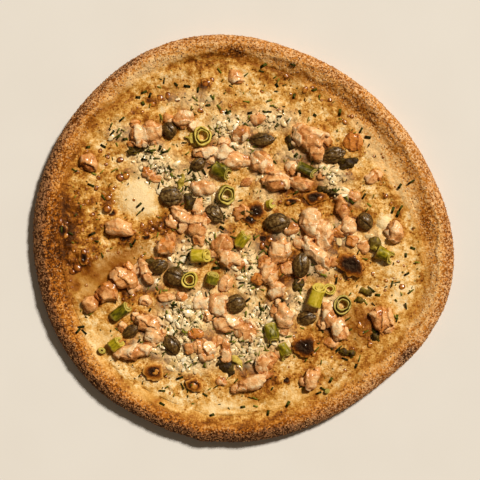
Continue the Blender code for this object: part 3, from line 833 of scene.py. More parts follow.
baked.wire(Specular_IOR_Level=0.25, Specular_Tint=(1.0, 0.72, 0.42))
relief = wrinkle * -0.5 + fine * (0.5 + crumbly * 0.3) + speckle * bare * 0.7 + blotch * 0.5
baked.bump(relief, 0.7)

# %% Show the dough
HAIR = 0.02


def inside_crust(points):
    """Keeps points a hair inside the crust's box."""
    low, high = (np.array(corner) for corner in corners_of(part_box("crust")))
    return np.clip(points, low + HAIR, high - HAIR)


move_points(dough, inside_crust(skin))
hold(dough, **marks)
show("dough_baked", dough, baked, "crust", "crust")

# %% [markdown]
# ## The cheese
#
# The cheese is a thin sheet that melted into every hollow. A grid, rounded into a disc, has even
# little faces all over it. Each point gets its height from what happened there: level in the open,
# drawn up over the foot of the rim in a feather edge, domed over the bubbles, and lumpy where it
# curdled. A skirt and a floor inside the dough close it.

# %% Heights of the cheese
CHEESE_SKIRT = 5.4
SEAT = 8.3
BUBBLES = (
    (-72, 29, 30, 30, 1.6, 0), (76, -18.5, 18, 15, 2.6, -20), (43.5, -75.5, 16, 13, 2.4, 10),
    (51, 29, 15, 9, 1.6, 10), (8, 17, 12, 14, 1.8, 50), (-62, -93, 11, 12, 1.8, 0),
    (-34, -102.5, 12, 9, 1.8, 0), (-95, 20.5, 9, 8, 2, 0), (-111, -12, 10, 12, 1.4, 0),
    (-26, 107.5, 12, 9, 1.5, 0), (44, 104, 14, 9, 1.5, -15), (84, -60.5, 22, 26, 1.2, 0),
    (99, 11, 11, 10, 1.6, 0),
)


def bubbled(x, y):
    """How far the cheese is domed up over its bubbles."""
    rise = np.zeros(len(x))
    for bx, by, length, width, height, turn in BUBBLES:
        rise += height * np.clip(1 - oval(x, y, (bx, by), length, width, turn), 0, 1)
    return rise


def curd_relief(flat):
    """Billows of curdled cream of three sizes, as millimetres above the folds between them."""
    bent = flat + 1.2 * wander(flat, 3.0, 41)
    billows = 2.6 * abs(hills(bent, 6.5, 42)) + 1.6 * abs(hills(bent, 3.2, 39))
    return billows + 0.4 * abs(hills(flat, 1.4, 38))


def cheese_heights(x, y, marks):
    """The top of the cheese, with its lumps, blisters and ripples."""
    flat = stacked(x, y, 0)
    turn = np.arctan2(y, x)
    share = slope_share(turn, np.hypot(x, y))
    slope = rim_slope(turn, share)[1]
    calm = 1 - 0.8 * marks["smooth"]
    lumps = curd_relief(flat) * marks["curd"]
    blister = np.clip(1 - 1.6 * grains(flat, 4.4, 46, flat=True)[0] ** 2, 0, 1)
    lumps += np.clip(marks["brown"] - 0.22, 0, 0.6) * blister * 1.5 * calm
    ripples = 0.55 * hills(flat, 11, 43) + 0.50 * hills(flat, 4.5, 44) + 0.30 * hills(flat, 2.0, 45)
    lumps += ripples * calm
    lumps += marks["burnt"] * (0.45 * hills(flat, 2.4, 47) + 0.25 * hills(flat, 1.3, 48))
    share = share + 0.02 * (hills(flat, 7, 49) - 1)
    rise = 0.15 * soft_step(share, 0.64, 0.76) + lumps * soft_step(share, 0.74, 0.95)
    return eased(slope) + rise - 0.5 * (1 - soft_step(share, 0.5, 0.68)) + bubbled(x, y)


# %% Round a grid into the cheese
CHEESE_CELLS = 302
HIGHEST_CREST = 1.9

bm = bmesh.new()
bmesh.ops.create_grid(bm, x_segments=CHEESE_CELLS, y_segments=CHEESE_CELLS, size=1)
rim_edges = [edge for edge in bm.edges if edge.is_boundary]
hem = bmesh.ops.extrude_edge_only(bm, edges=rim_edges)["geom"]
hem_points = [item for item in hem if isinstance(item, bmesh.types.BMVert)]
bmesh.ops.translate(bm, verts=hem_points, vec=(0, 0, -1))
bmesh.ops.holes_fill(bm, edges=[edge for edge in bm.edges if edge.is_boundary], sides=0)
cheese = mesh_of("cheese_sheet", bm)
square_x, square_y, depth = points_of(cheese).T
disc_x = square_x * np.sqrt(1 - square_y**2 / 2)
disc_y = square_y * np.sqrt(1 - square_x**2 / 2)
turn = np.arctan2(disc_y, disc_x)
reach = np.hypot(disc_x, disc_y) * rim_slope(turn, CHEESE_EDGE_SHARE)[0]
x, y = reach * np.cos(turn), reach * np.sin(turn)
marks = baked_marks(x, y)
z = np.where(depth < -0.5, CHEESE_SKIRT, cheese_heights(x, y, marks))
move_points(cheese, stacked(x, y, z))
lift = np.clip(curd_relief(stacked(x, y, 0)) / HIGHEST_CREST, 0, 1)
hold(cheese, lift=lift, **marks)
show("cheese_melted", cheese, baked, "cheese", "cheese")

# %% [markdown]
# ## Salmon
#
# The fish went on as torn scraps and came out of the oven as crumpled, flaky lumps with rounded
# lobes, deep creases and edges that caught the heat. Sculpting thirty of them by hand would be slow.
# Here each grows out of its solid: a voxel remesh gives it an even skin, smoothing melts the
# facets, and then flakes are raised and the creases between them are pressed in by grain noise.


# %% A fine copy of a solid
def fine_copy(node, voxel, rounds):
    """An even, smoothed copy of a solid, in millimetres, for its surface to be worked."""
    bm = bmesh.new()
    bm.from_mesh(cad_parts[node].data)
    bmesh.ops.remove_doubles(bm, verts=bm.verts, dist=0.001 * MM)
    to_mm = Matrix.Translation(middle) @ Matrix.Scale(1 / MM, 4)
    bmesh.ops.transform(bm, matrix=to_mm, verts=bm.verts)
    rough = in_scene(node + "_rough", mesh_of(node + "_rough", bm))
    remesh = rough.modifiers.new("even skin", "REMESH")
    remesh.mode = "VOXEL"
    remesh.voxel_size = voxel
    graph = bpy.context.evaluated_depsgraph_get()
    fine = bpy.data.meshes.new_from_object(rough.evaluated_get(graph), depsgraph=graph)
    bpy.data.objects.remove(rough)
    bm = bmesh.new()
    bm.from_mesh(fine)
    every_way = {"use_axis_x": True, "use_axis_y": True, "use_axis_z": True}
    for _ in range(rounds):
        bmesh.ops.smooth_vert(bm, verts=bm.verts, factor=0.5, **every_way)
    bm.to_mesh(fine)
    bm.free()
    return fine


# %% Flakes on a lump of salmon
FLAKE_THICKNESS = 1.6
FLAKE_LENGTH = 2.1
CREASE_WIDTH = 0.07
FOOT_LEVEL = 8.7
FOOT_DROP = 0.5


def flaky(mesh, salt, lobe, depth):
    """Tears a lump into overlapping flakes, and marks their seams, tones and thin edges."""
    points, out = points_of(mesh), normals_of(mesh)
    angle = chance(np.array([[salt, 1, 2]]), salt)[0] * 2 * math.pi
    across = np.array([math.cos(angle), math.sin(angle), 0.5])
    along = np.array([-math.sin(angle), math.cos(angle), 0])
    bent = points + 4.5 * wander(points, 13, salt + 2) + 1.6 * wander(points, 5.0, salt + 1)
    bent += 0.5 * wander(points, 1.6, salt + 4)
    row = bent @ across / (FLAKE_THICKNESS * lobe) + 0.37 * salt
    layer = np.floor(row)
    rise = row - layer
    shift = 5 * chance(stacked(layer, layer, layer), salt + 5)
    place = bent @ along / (FLAKE_LENGTH * lobe) + shift
    torn = np.floor(place)
    number = chance(stacked(layer, torn, 0), salt + 7)
    seam = np.minimum(rise, np.minimum(place - torn, 1 - place + torn))
    crease = np.exp(-((seam / CREASE_WIDTH) ** 2))
    raised = 0.6 + 1.9 * (rise**2 - 0.4) + 1.8 * (number - 0.45) + 0.8 * hills(points, 5.5, salt + 17)
    raised += 0.45 * hills(points, 2.6, salt + 25) + 0.2 * hills(points, 1.3, salt + 19) - 0.2 * crease
    points += out * (depth * raised)[:, None]
    points[:, :2] += 0.6 * wander(points, 3.0, salt + 31)[:, :2]
    points[:, 2] -= np.clip(FOOT_LEVEL - points[:, 2], 0, FOOT_DROP)
    move_points(mesh, points)
    pale = 0.4 * (chance(np.array([[salt, 5, 6]]), salt + 3)[0] - 0.5)
    # The rise term paints the raised part of each flake paler, as painted highlight; number and pale
    # vary the tone at random.
    tone = np.clip(0.8 * number + 0.35 * rise**2 + pale, 0, 1)
    hold(mesh, crease=crease, tone=tone, edge=soft_step(rise, 0.78, 1))


def lowness(mesh, level):
    """1 where a lump meets the surface it lies on, fading to 0 a little higher up."""
    return 1 - soft_step(points_of(mesh)[:, 2] - level, 0.2, 2.6)


# %% [markdown]
# ### Cooked salmon
#
# Cooked salmon is a milky pink, and thin edges that caught the heat turn orange to brown. The
# raised part of each flake is painted paler, as painted highlight, and the creases are painted
# darker orange to brown, as painted shade. Where a lump meets the cheese it is darkened too,
# partly browned cream and partly painted shade. Light sinks into it a little, which keeps the
# shadows warm.

# %% Salmon material
salmon = Finish("cooked salmon")
crease, tone, toast, base, edge = map(salmon.field, ("crease", "tone", "toast", "base", "edge"))
marbling = salmon.noise(3.2, 4.0, 0.6)
fibre = salmon.noise(1.2, 3.0, 0.6, stretch=(1.0, 2.2, 1.6))
pink = (tone * 0.8 + marbling * 1.4 + fibre * 0.5 - 0.85).ramp(
    (0.0, 146, 74, 20), (0.25, 202, 128, 60), (0.55, 236, 172, 106), (0.8, 249, 202, 144),
    (1.0, 255, 226, 180),
)
# Toasting of the thin edges, with painted shade added in the creases and at the foot.
heat = toast + (marbling - 0.5) * 1.2 + crease * 0.25 + base * 0.45 + edge * 0.35
# Painted shade darkens the creases.
pink = (crease * 0.4).coat(pink, 166, 82, 22)
pink = heat.step(0.45, 0.9).coat(pink, 212, 126, 36)
pink = heat.step(0.8, 1.2).coat(pink, 128, 56, 10)
# The foot is darkened: partly browned cream, partly painted shade.
pink = (base * 0.65).coat(pink, 108, 52, 10)
salmon.wire(Base_Color=pink, Roughness=0.28 + fibre * 0.3, Specular_Tint=(1.0, 0.8, 0.55))
salmon.wire(Coat_Weight=0.35, Coat_Roughness=0.16)
salmon.wire(Subsurface_Weight=0.08, Subsurface_Radius=(0.8, 0.5, 0.3), Subsurface_Scale=1.2 * MM)
salmon.bump(fibre * 0.7 + marbling * 0.6, 0.8)

# %% Thirty lumps of salmon
SALMON_COUNT = 30
SALMON_VOXEL = 0.6
SALMON_DEPTH = 0.62
USUAL_LOOK = (0.2, 4.6)
SALMON_LOOKS = {
    1: (0.25, 4.4), 2: (0.35, 4.0), 4: (0.20, 5.2), 5: (0.25, 9.0), 6: (0.05, 6.0), 8: (0.00, 7.0),
    10: (0.30, 9.0), 13: (0.45, 4.0), 14: (0.10, 4.6), 17: (0.35, 4.2), 19: (0.45, 4.4),
    21: (0.10, 8.0), 22: (0.25, 6.0), 23: (0.05, 6.5), 25: (0.20, 7.0), 26: (0.30, 4.2),
    27: (0.15, 6.0), 29: (0.40, 4.6),
}
for index in range(1, SALMON_COUNT + 1):
    node = f"salmon_{index:02d}"
    toasted, lobe = SALMON_LOOKS.get(index, USUAL_LOOK)
    lump = fine_copy(node, SALMON_VOXEL, 3)
    flaky(lump, 100 * index, lobe, SALMON_DEPTH)
    # The foot where the lump meets the cheese is darkened: browned cream and painted shade.
    hold(lump, toast=toasted, base=lowness(lump, SEAT))
    show(f"{node}_flaky", lump, salmon, "salmon", node)


# %% [markdown]
# ## Capers
#
# A caper is a closed flower bud. Four sepals wrap round it, each lapping over the next, so long
# curved ridges run from the stalk to the pointed tip. Pickling and baking wrinkle it. A ball gets
# those ridges as a sawtooth round its long axis, which is simpler than modelling each sepal.

# %% Shape a bud
CAPERS = (
    (-51, 76, 12, 10, 6.5, -70, 0.06, 0.2), (14, 69.5, 17, 9, 6.5, 0, 0.12, 0.3),
    (-31, 52, 11, 9, 6, 25, 0.08, 0.2), (64, 59, 16, 10.5, 6.5, 10, 0.16, 0.3),
    (-50, 29.5, 16, 13, 7, -15, 0.1, 0.8), (-19.5, 17.5, 14, 11, 6, -45, 0.1, 0.9),
    (24.5, 11, 18, 13, 7.5, 0, 0.06, 0.6), (86, 12, 13, 10.5, 7, -60, 0.06, 0.3),
    (41, -18.5, 18, 12, 7.5, 80, 0.05, 0.4), (-58.5, -19.5, 13, 10.5, 7, 20, 0.08, 0.1),
    (-47, -27, 15, 12.5, 7, -40, 0.06, 0.3), (-4.5, -45.5, 14, 13, 7, 0, 0.05, 0.4),
    (-49.5, -74.5, 15, 11.5, 7, -65, 0.07, 0.2),
)
SEPALS = 4
SEAM_WIDTH = 0.07


def bud(length, width, height, wrinkle, pallor, salt):
    """A bud lying along x, with its lapped sepals, the dark seams between them and painted shade in the
    valleys of its wrinkles.
    """
    mesh = shape("bud", bmesh.ops.create_icosphere, subdivisions=5, radius=1)
    ball = points_of(mesh)
    along, side, up = ball.T
    place = (np.arctan2(up, side) / (2 * np.pi) * SEPALS + 0.35 * along + 0.37 * salt) % 1
    fade = np.clip(1.15 - np.abs(along) ** 3, 0, 1)
    lap = (place - 0.5) * 0.11 * fade
    seam = np.exp(-((np.minimum(place, 1 - place) / SEAM_WIDTH) ** 2)) * fade
    stretched = ball * (0.6, 1.6, 1.6)
    creased = hills(stretched, 0.42, salt) + 0.6 * hills(stretched, 0.2, salt + 1)
    grow = 1 + lap - 0.07 * seam + wrinkle * creased
    narrow = 1 - 0.22 * np.clip(along, 0, 1) ** 2
    points = ball * grow[:, None] * (length / 2, width / 2, height / 2)
    points[:, 1:] *= narrow[:, None]
    move_points(mesh, points)
    # The held seam mark is the dark joints between the sepals plus painted shade in the valleys of the
    # wrinkles.
    hold(mesh, seam=np.clip(seam + 0.5 * (0.2 - creased), 0, 1), pale=pallor)
    return mesh


# %% Caper material
caper = Finish("pickled caper skin")
seam, pale = map(caper.field, ("seam", "pale"))
mottle = caper.noise(1.7, 4.0, 0.7)
veins = caper.noise(0.8, 2.0, 0.5, stretch=(1.0, 1.0, 0.5))
olive = (mottle * 0.75 + veins * 0.25).ramp(
    (0.25, 34, 16, 2), (0.48, 76, 48, 12), (0.62, 122, 90, 36), (0.8, 184, 150, 88)
)
olive = (pale * mottle.step(0.42, 0.66) * 0.65).coat(olive, 160, 132, 82)
# Dark seams between the sepals, and painted shade in the wrinkle valleys.
olive = (seam * 0.85).coat(olive, 26, 14, 4)
caper.wire(Base_Color=olive, Roughness=0.26 + mottle * 0.3)
caper.wire(Specular_IOR_Level=0.3, Specular_Tint=(1.0, 0.8, 0.55), Coat_Weight=0.15, Coat_Roughness=0.2)
caper.bump(mottle * 0.6 + veins * 0.4, 0.3)

# %% Thirteen capers
for index, (x, y, length, width, height, turn, wrinkle, pallor) in enumerate(CAPERS, 1):
    mesh = bud(length, width, height, wrinkle, pallor, 3 * index)
    mesh.transform(laid((x, y, SEAT + 0.34 * height), turn))
    node = f"caper_{index:02d}"
    show(f"{node}_bud", mesh, caper, "caper", node)


# %% [markdown]
# ## Spring onions
#
# A cut of spring onion is a tube of leaf, with thinner leaves rolled up inside it. Its cut faces
# are pale and wet, its skin is streaked lengthwise, and where the leaf has split it lies as an open
# gutter. A small rounded profile spun round the tube's axis gives both kinds, whole or part way
# round. Waves along the wall undo the machined look.

# %% Spin a leaf
ONIONS = (
    (-28, 71.5, 5, 13.5, 75, 78, 360, 0.7, 0.5), (-14, 47, 14, 9, -25, 5, 250, 0.25, 0.7),
    (-11.5, 30.5, 5, 13, -20, 72, 360, 0.45, 0.6), (45.5, 47.5, 15, 8, -25, 5, 230, 0.05, 0.5),
    (-29, -12, 14, 10, 0, 4, 360, 0.95, 0.2), (-37, -29, 6, 11.5, 0, 90, 360, 0.85, 0.2),
    (-21, -27.5, 9, 8.5, 75, 4, 360, 0.35, 0.3), (100.5, -12, 13, 9.5, -25, 5, 250, 0.5, 0.4),
    (52, -39.5, 17, 10.5, 70, 4, 360, 0.9, 0.3), (70, -46.5, 5, 13.5, 70, 80, 360, 0.1, 0.5),
    (20.5, -67, 15, 9, -75, 4, 270, 0.3, 0.6), (29.5, -79.5, 12, 8.5, -60, 4, 230, 0.45, 1),
    (-88, -73.5, 10, 8.5, 35, 4, 300, 0.7, 0.4), (-84.5, -51, 16, 8, 40, 5, 220, 0.2, 0.6),
    (0.5, 0, 13, 8.5, 55, 5, 230, 0.6, 1),
)
ROLLED = ((1.0, 1.0, 1.4), (0.62, 1.08, 0.9))
LEAF_STEP = 6
WALL_POINTS = 12


def leaf(length, outer, wall, closing):
    """A rolled leaf round z: its rounded wall spun round the axis, whole or part way."""
    bm = bmesh.new()
    inner = outer - wall
    half, bead = length / 2, wall * 0.3
    side = [(half - bead) * (1 - 2 * step / WALL_POINTS) for step in range(WALL_POINTS + 1)]
    section = [(inner, half - bead), (inner + bead, half), (outer - bead, half)]
    section += [(outer, z) for z in side]
    section += [(outer - bead, -half), (inner + bead, -half)]
    section += [(inner, -z) for z in side[:-1]]
    profile = [bm.verts.new((x, 0, z)) for x, z in section]
    edges = [bm.edges.new((profile[index - 1], profile[index])) for index in range(len(profile))]
    whole = closing == 360
    bmesh.ops.spin(
        bm, geom=profile + edges, cent=(0, 0, 0), axis=(0, 0, 1),
        angle=math.radians(closing), steps=closing // LEAF_STEP, use_merge=whole,
    )
    if not whole:
        bmesh.ops.holes_fill(bm, edges=[edge for edge in bm.edges if edge.is_boundary], sides=0)
    return mesh_of("leaf", bm)


# %% Cut, curl and lay an onion
ONION_SINK = 0.9
ONION_TOP = 18.6
SLANT = 0.55


def onion_cut(piece, salt):
    """A cut of spring onion with the leaves inside it, at its place on the pizza."""
    x, y, length, across, turn, pitch, closing, brightness, frill = piece
    half, outer = length / 2, across / 2
    rolls = [leaf(length * reach, outer * share, wall, closing) for share, reach, wall in ROLLED]
    mesh = gathered("onion", rolls)
    points = points_of(mesh)
    radius = np.hypot(points[:, 0], points[:, 1])
    round_it = np.arctan2(points[:, 1], points[:, 0])
    depth = [np.abs(outer * share - radius) / wall for share, _, wall in ROLLED]
    depth = np.minimum(1, np.min(depth, axis=0))
    end = soft_step(np.abs(points[:, 2]) / half, 0.86, 1.0)
    lines = stacked(np.cos(round_it), np.sin(round_it), points[:, 2] * 0.08)
    streak = 0.5 + 0.5 * hills(lines, 0.16, salt)
    waves = hills(points * (1, 1, 0.6), 3.2, salt + 1)
    grow = 1 + (0.08 + 0.11 * frill) * waves + 0.07 * frill * np.sin(3 * round_it + salt)
    inside = radius < 0.8 * outer
    grow = grow + 0.08 * np.cos(2 * round_it + salt) + inside * 0.12 * hills(points, 2.4, salt + 3)
    points[:, :2] *= grow[:, None]
    points[:, 2] += (0.3 + 0.9 * frill) * waves * end * np.sign(points[:, 2])
    move_points(mesh, points)
    mesh.transform(Matrix.Rotation(-math.radians(closing / 2 + 180), 4, "Z"))
    points = points_of(mesh)
    along, above = points[:, 2] / half, outer - points[:, 0]
    points[:, 2] -= SLANT * above * np.clip(along, 0, 1) ** 2 * (pitch < 45)
    move_points(mesh, points)
    mesh.transform(laid((0, 0, 0), turn) @ Matrix.Rotation(math.radians(90 - pitch), 4, "Y"))
    sink = ONION_SINK if pitch < 90 else 0
    points = points_of(mesh)
    points[:, 2] *= min(1, (ONION_TOP - SEAT + sink) / np.ptp(points[:, 2]))
    move_points(mesh, points)
    mesh.transform(Matrix.Translation((x, y, SEAT - sink - points[:, 2].min())))
    cut = np.clip(end + soft_step(depth, 0.35, 0.9), 0, 1)
    hold(mesh, streak=streak, cut=cut, bright=brightness)
    return mesh


# %% Spring onion material
onion = Finish("spring onion leaf")
bright, streak, cut = map(onion.field, ("bright", "streak", "cut"))
patch = onion.noise(3.0, 3.0, 0.6)
green = (bright * 0.62 + streak * 0.36 + (patch - 0.5) * 0.7 + 0.01).ramp(
    (0.0, 28, 24, 2), (0.22, 66, 60, 4), (0.45, 124, 112, 6), (0.7, 184, 160, 24), (1.0, 226, 198, 80)
)
green = (cut * 0.6).coat(green, 222, 196, 98)
green = patch.step(0.66, 0.8).coat(green, 112, 82, 26)
onion.wire(Base_Color=green, Roughness=0.28 + patch * 0.25, Specular_Tint=(1.0, 0.9, 0.6))
onion.wire(Subsurface_Weight=0.05, Subsurface_Radius=(0.6, 1.0, 0.2), Subsurface_Scale=1.2 * MM)
onion.bump(streak * 0.7 + patch * 0.3, 0.35)

# %% Fifteen cuts
for index, piece in enumerate(ONIONS, 1):
    node = f"spring_onion_{index:02d}"
    show(f"{node}_leaf", onion_cut(piece, 5 * index), onion, "spring_onion", node)


# %% [markdown]
# ## Small things by the hundred
#
# Curds, herb flecks and grains repeat one small shape many times. Each kind becomes one joined
# mesh: copies of a closed little shape are gathered in a bmesh, then every copy is stretched,
# turned and set on the surface, and one noise field over all of them makes no two alike.

# %% Strew copies
ANY_TURN = (0, 6.3)
TRIES = 4000
CHEESE_REACH = 128
FOOT_SHARE = 0.72


def strewn(name, grain, places, sizes, turns, tilts, shades):
    """Joins copies of a small mesh, each with its own place, size, turn about z, tilt and shade."""
    mesh = gathered(name, [grain] * len(places))
    copies = points_of(grain)[None] * sizes[:, None]
    lean, rise = np.cos(tilts).reshape(-1, 1), np.sin(tilts).reshape(-1, 1)
    x, y, z = np.moveaxis(copies, 2, 0)
    x, z = x * lean - z * rise, x * rise + z * lean
    c, s = np.cos(turns)[:, None], np.sin(turns)[:, None]
    copies = stacked(x * c - y * s, x * s + y * c, z) + places[:, None]
    move_points(mesh, copies.reshape(-1, 3))
    hold(mesh, shade=np.repeat(shades, len(grain.vertices)))
    return mesh


def small_ball(around_it, up_it):
    """A closed ball of few faces."""
    measures = {"u_segments": around_it, "v_segments": up_it, "radius": 0.5}
    return shape("small_ball", bmesh.ops.create_uvsphere, **measures)


def on_cheese(x, y):
    """Points on the top of the cheese, or of the rim beyond it."""
    x, y = np.asarray(x, float), np.asarray(y, float)
    return stacked(x, y, cheese_heights(x, y, baked_marks(x, y)))


def scatter(rng, count, weight):
    """Random points on the cheese, kept more often where weight(x, y) is high."""
    kept = np.zeros((2, 0))
    while kept.shape[1] < count:
        turn, share = rng.uniform(0, 2 * np.pi, TRIES), rng.uniform(0, 1, TRIES)
        radius = CHEESE_REACH * np.sqrt(share)
        x, y = radius * np.cos(turn), radius * np.sin(turn)
        keep = (slope_share(turn, radius) > FOOT_SHARE) & (rng.uniform(0, 1, TRIES) < weight(x, y))
        kept = np.hstack([kept, [x[keep], y[keep]]])
    return kept[:, :count]


# %% [markdown]
# ### Curds and herbs
#
# The white drifts between the salmon are curds no bigger than a lentil, and finely cut herbs were
# stirred into them. The curds are soft balls, flattened and half sunk. The herbs are slivers. Such
# small things need no more than one noise in their finish, so one function makes all of theirs.


# %% A finish from one noise
def mottled(name, grain, tones, shares, contrast, level, rough, depth, **constants):
    """A finish whose one noise varies its tone, its gloss and its relief.

    The tone adds up shares of the numbers held at the points, the noise's own contrast and a level.
    """
    finish = Finish(name)
    grain = finish.noise(*grain)
    tone = (grain - 0.5) * contrast + level
    for field, share in shares.items():
        tone = finish.field(field) * share + tone
    finish.wire(Base_Color=tone.ramp(*tones), Roughness=grain * rough[1] + rough[0], **constants)
    finish.bump(grain, depth)
    return finish


curdy = mottled(
    "white curd", (0.9, 3.0, 0.6), shares={"shade": 0.8}, contrast=0.7, level=0.05,
    tones=((0.0, 212, 172, 104), (0.35, 238, 203, 142), (0.65, 250, 224, 174), (1.0, 255, 240, 208)),
    rough=(0.3, 0.2), depth=0.12, Coat_Weight=0.5, Coat_Roughness=0.12,
    Subsurface_Weight=0.15, Subsurface_Radius=(1.0, 0.8, 0.5), Subsurface_Scale=1.0 * MM,
)
herb = mottled(
    "chopped herb", (0.9, 2.0, 0.5), shares={"shade": 0.85}, contrast=0.5, level=0.0,
    tones=((0.0, 38, 36, 4), (0.35, 72, 74, 12), (0.7, 116, 116, 28), (1.0, 174, 166, 66)),
    rough=(0.44, 0.3), depth=0.2, Specular_IOR_Level=0.12,
)

# %% Curds
CURD_COUNT = 700
rng = np.random.default_rng(21)
x, y = scatter(rng, CURD_COUNT, lambda x, y: covered(x, y, CURDLED, 0.18) ** 1.3)
width = 1.5 + 3.0 * rng.uniform(0, 1, CURD_COUNT) ** 1.6
sizes = stacked(width * rng.uniform(1.0, 1.8, CURD_COUNT), width, 0.5 + width * 0.24)
curds = strewn(
    "curds", small_ball(12, 9), on_cheese(x, y), sizes,
    turns=rng.uniform(*ANY_TURN, CURD_COUNT), tilts=0, shades=rng.uniform(0, 1, CURD_COUNT),
)
push(curds, lambda at: (1.5, 1.5, 0.5) * wander(at, 3.4, 61) + 0.35 * wander(at, 1.5, 62))
show("curds_on_cheese", curds, curdy, "cheese")

# %% Herb flecks
FLECK_COUNT = 1400
rng = np.random.default_rng(22)


def herb_weight(x, y):
    """Herbs lie thick in the curds, thin elsewhere, and hardly at all on the smooth places."""
    return (0.7 * covered(x, y, CURDLED, 0.2) + 0.08) * (1 - 0.9 * covered(x, y, SMOOTH))


x, y = scatter(rng, FLECK_COUNT, herb_weight)
bm = bmesh.new()
bmesh.ops.create_cone(bm, cap_ends=True, segments=5, radius1=0.5, radius2=0.35, depth=1)
bmesh.ops.rotate(bm, cent=(0, 0, 0), matrix=Matrix.Rotation(math.pi / 2, 3, "Y"), verts=bm.verts)
sliver = mesh_of("sliver", bm)
length = 0.9 + 4.4 * rng.uniform(0, 1, FLECK_COUNT) ** 2.6
across = rng.uniform(0.4, 0.8, FLECK_COUNT) * np.sqrt(length)
lifted = on_cheese(x, y) + stacked(0, 0, rng.uniform(0.2, 0.9, FLECK_COUNT))
flecks = strewn(
    "flecks", sliver, lifted, stacked(length, across, 0.35 + across * 0.3),
    turns=rng.uniform(*ANY_TURN, FLECK_COUNT), tilts=rng.uniform(-0.4, 0.4, FLECK_COUNT),
    shades=rng.uniform(0, 1, FLECK_COUNT),
)
show("herb_flecks", flecks, herb, "cheese")

# %% [markdown]
# ### Chives
#
# The chives were snipped into short lengths, and each is a dark hollow stalk that shrank in the
# heat. Their places are read from the photograph.

# %% Snip the chives
CHIVES = (
    (122, 119, 40), (144, 92, 20), (143, 103, -60), (88, 147, 10), (103, 146, -30), (112, 133, 50),
    (125, 139, 10), (176, 84, -35), (187, 86, -10), (198, 90, 80), (212, 97, -50), (208, 105, 10),
    (277, 85, -70), (294, 96, 70), (250, 113, 10), (265, 112, -20), (293, 65, -20), (264, 65, 30),
    (314, 90, 20), (340, 112, 80), (315, 115, -30), (361, 130, 60), (368, 137, -10), (91, 185, -20),
    (92, 234, 25), (143, 209, 60), (139, 205, 40), (131, 245, -60), (134, 242, 60), (78, 331, 50),
    (84, 332, -40), (81, 327, 10), (162, 404, -30), (162, 391, 0), (147, 375, -10), (212, 415, 20),
    (243, 407, 10), (268, 413, 75), (288, 404, 60), (319, 393, 20), (323, 389, -30), (262, 309, 30),
    (411, 182, 30), (400, 186, 60), (393, 210, 70), (398, 214, 70), (401, 208, 60), (413, 248, -20),
    (406, 255, 80), (407, 274, 30), (397, 317, 65), (397, 320, 70), (368, 293, -5), (378, 295, -8),
    (345, 359, -20), (356, 366, 70), (331, 380, 60), (150, 95, 70), (138, 97, 0), (160, 148, 70),
    (150, 152, -20), (165, 152, 20), (143, 158, 60), (204, 172, -60), (190, 172, 50),
    (186, 188, 70), (175, 210, -40), (228, 112, 20), (246, 125, -50), (300, 112, -70),
    (290, 148, 70), (296, 155, 40), (324, 188, -20), (334, 190, -10), (344, 197, -30),
    (352, 202, -40), (345, 180, 30), (364, 196, 60), (212, 214, 60), (222, 228, -40),
    (236, 246, 50), (216, 268, 0), (188, 255, 60), (200, 262, 80), (248, 300, 40), (228, 320, -60),
    (262, 332, 20), (236, 360, 60), (224, 362, -50), (232, 372, 10), (246, 352, -40),
    (150, 310, 60), (160, 318, -20), (174, 305, 10), (168, 330, 70), (186, 322, -40),
    (300, 290, 20), (297, 281, -60), (372, 290, -40), (376, 338, 60), (374, 331, -50),
    (377, 240, 70), (250, 268, 60), (282, 300, -30), (338, 350, 40), (205, 395, -30),
    (180, 378, 20), (270, 345, 50),
)
rng = np.random.default_rng(23)
px, py, turns = np.array(CHIVES).T
bm = bmesh.new()
bmesh.ops.create_cone(bm, cap_ends=True, segments=10, radius1=0.5, radius2=0.5, depth=1)
ends = [face for face in bm.faces if len(face.verts) > 4]
bmesh.ops.inset_region(bm, faces=ends, thickness=0.16, depth=-0.12)
bmesh.ops.rotate(bm, cent=(0, 0, 0), matrix=Matrix.Rotation(math.pi / 2, 3, "Y"), verts=bm.verts)
snip = mesh_of("snip", bm)
count = len(CHIVES)
length, across = rng.uniform(2.6, 5.2, count), rng.uniform(1.3, 2.0, count)
chives = strewn(
    "chives", snip, on_cheese(*seen(px, py)) + (0, 0, 0.45), stacked(length, across, across * 0.7),
    turns=np.radians(turns), tilts=rng.uniform(-0.15, 0.15, count),
    shades=rng.uniform(-0.2, 0.45, count),
)
push(chives, lambda at: 0.22 * wander(at, 1.6, 66))
show("chives_snipped", chives, herb, "cheese")

# %% [markdown]
# ### Scraps of salmon and leaf
#
# Between the big lumps lie scraps: little flakes of fish, some of them golden, and dark crumpled
# bits of leaf. Each is a ball squashed to its measured length, width and height. The fish goes
# through the same flaking as the big lumps, and the leaf is creased harder.

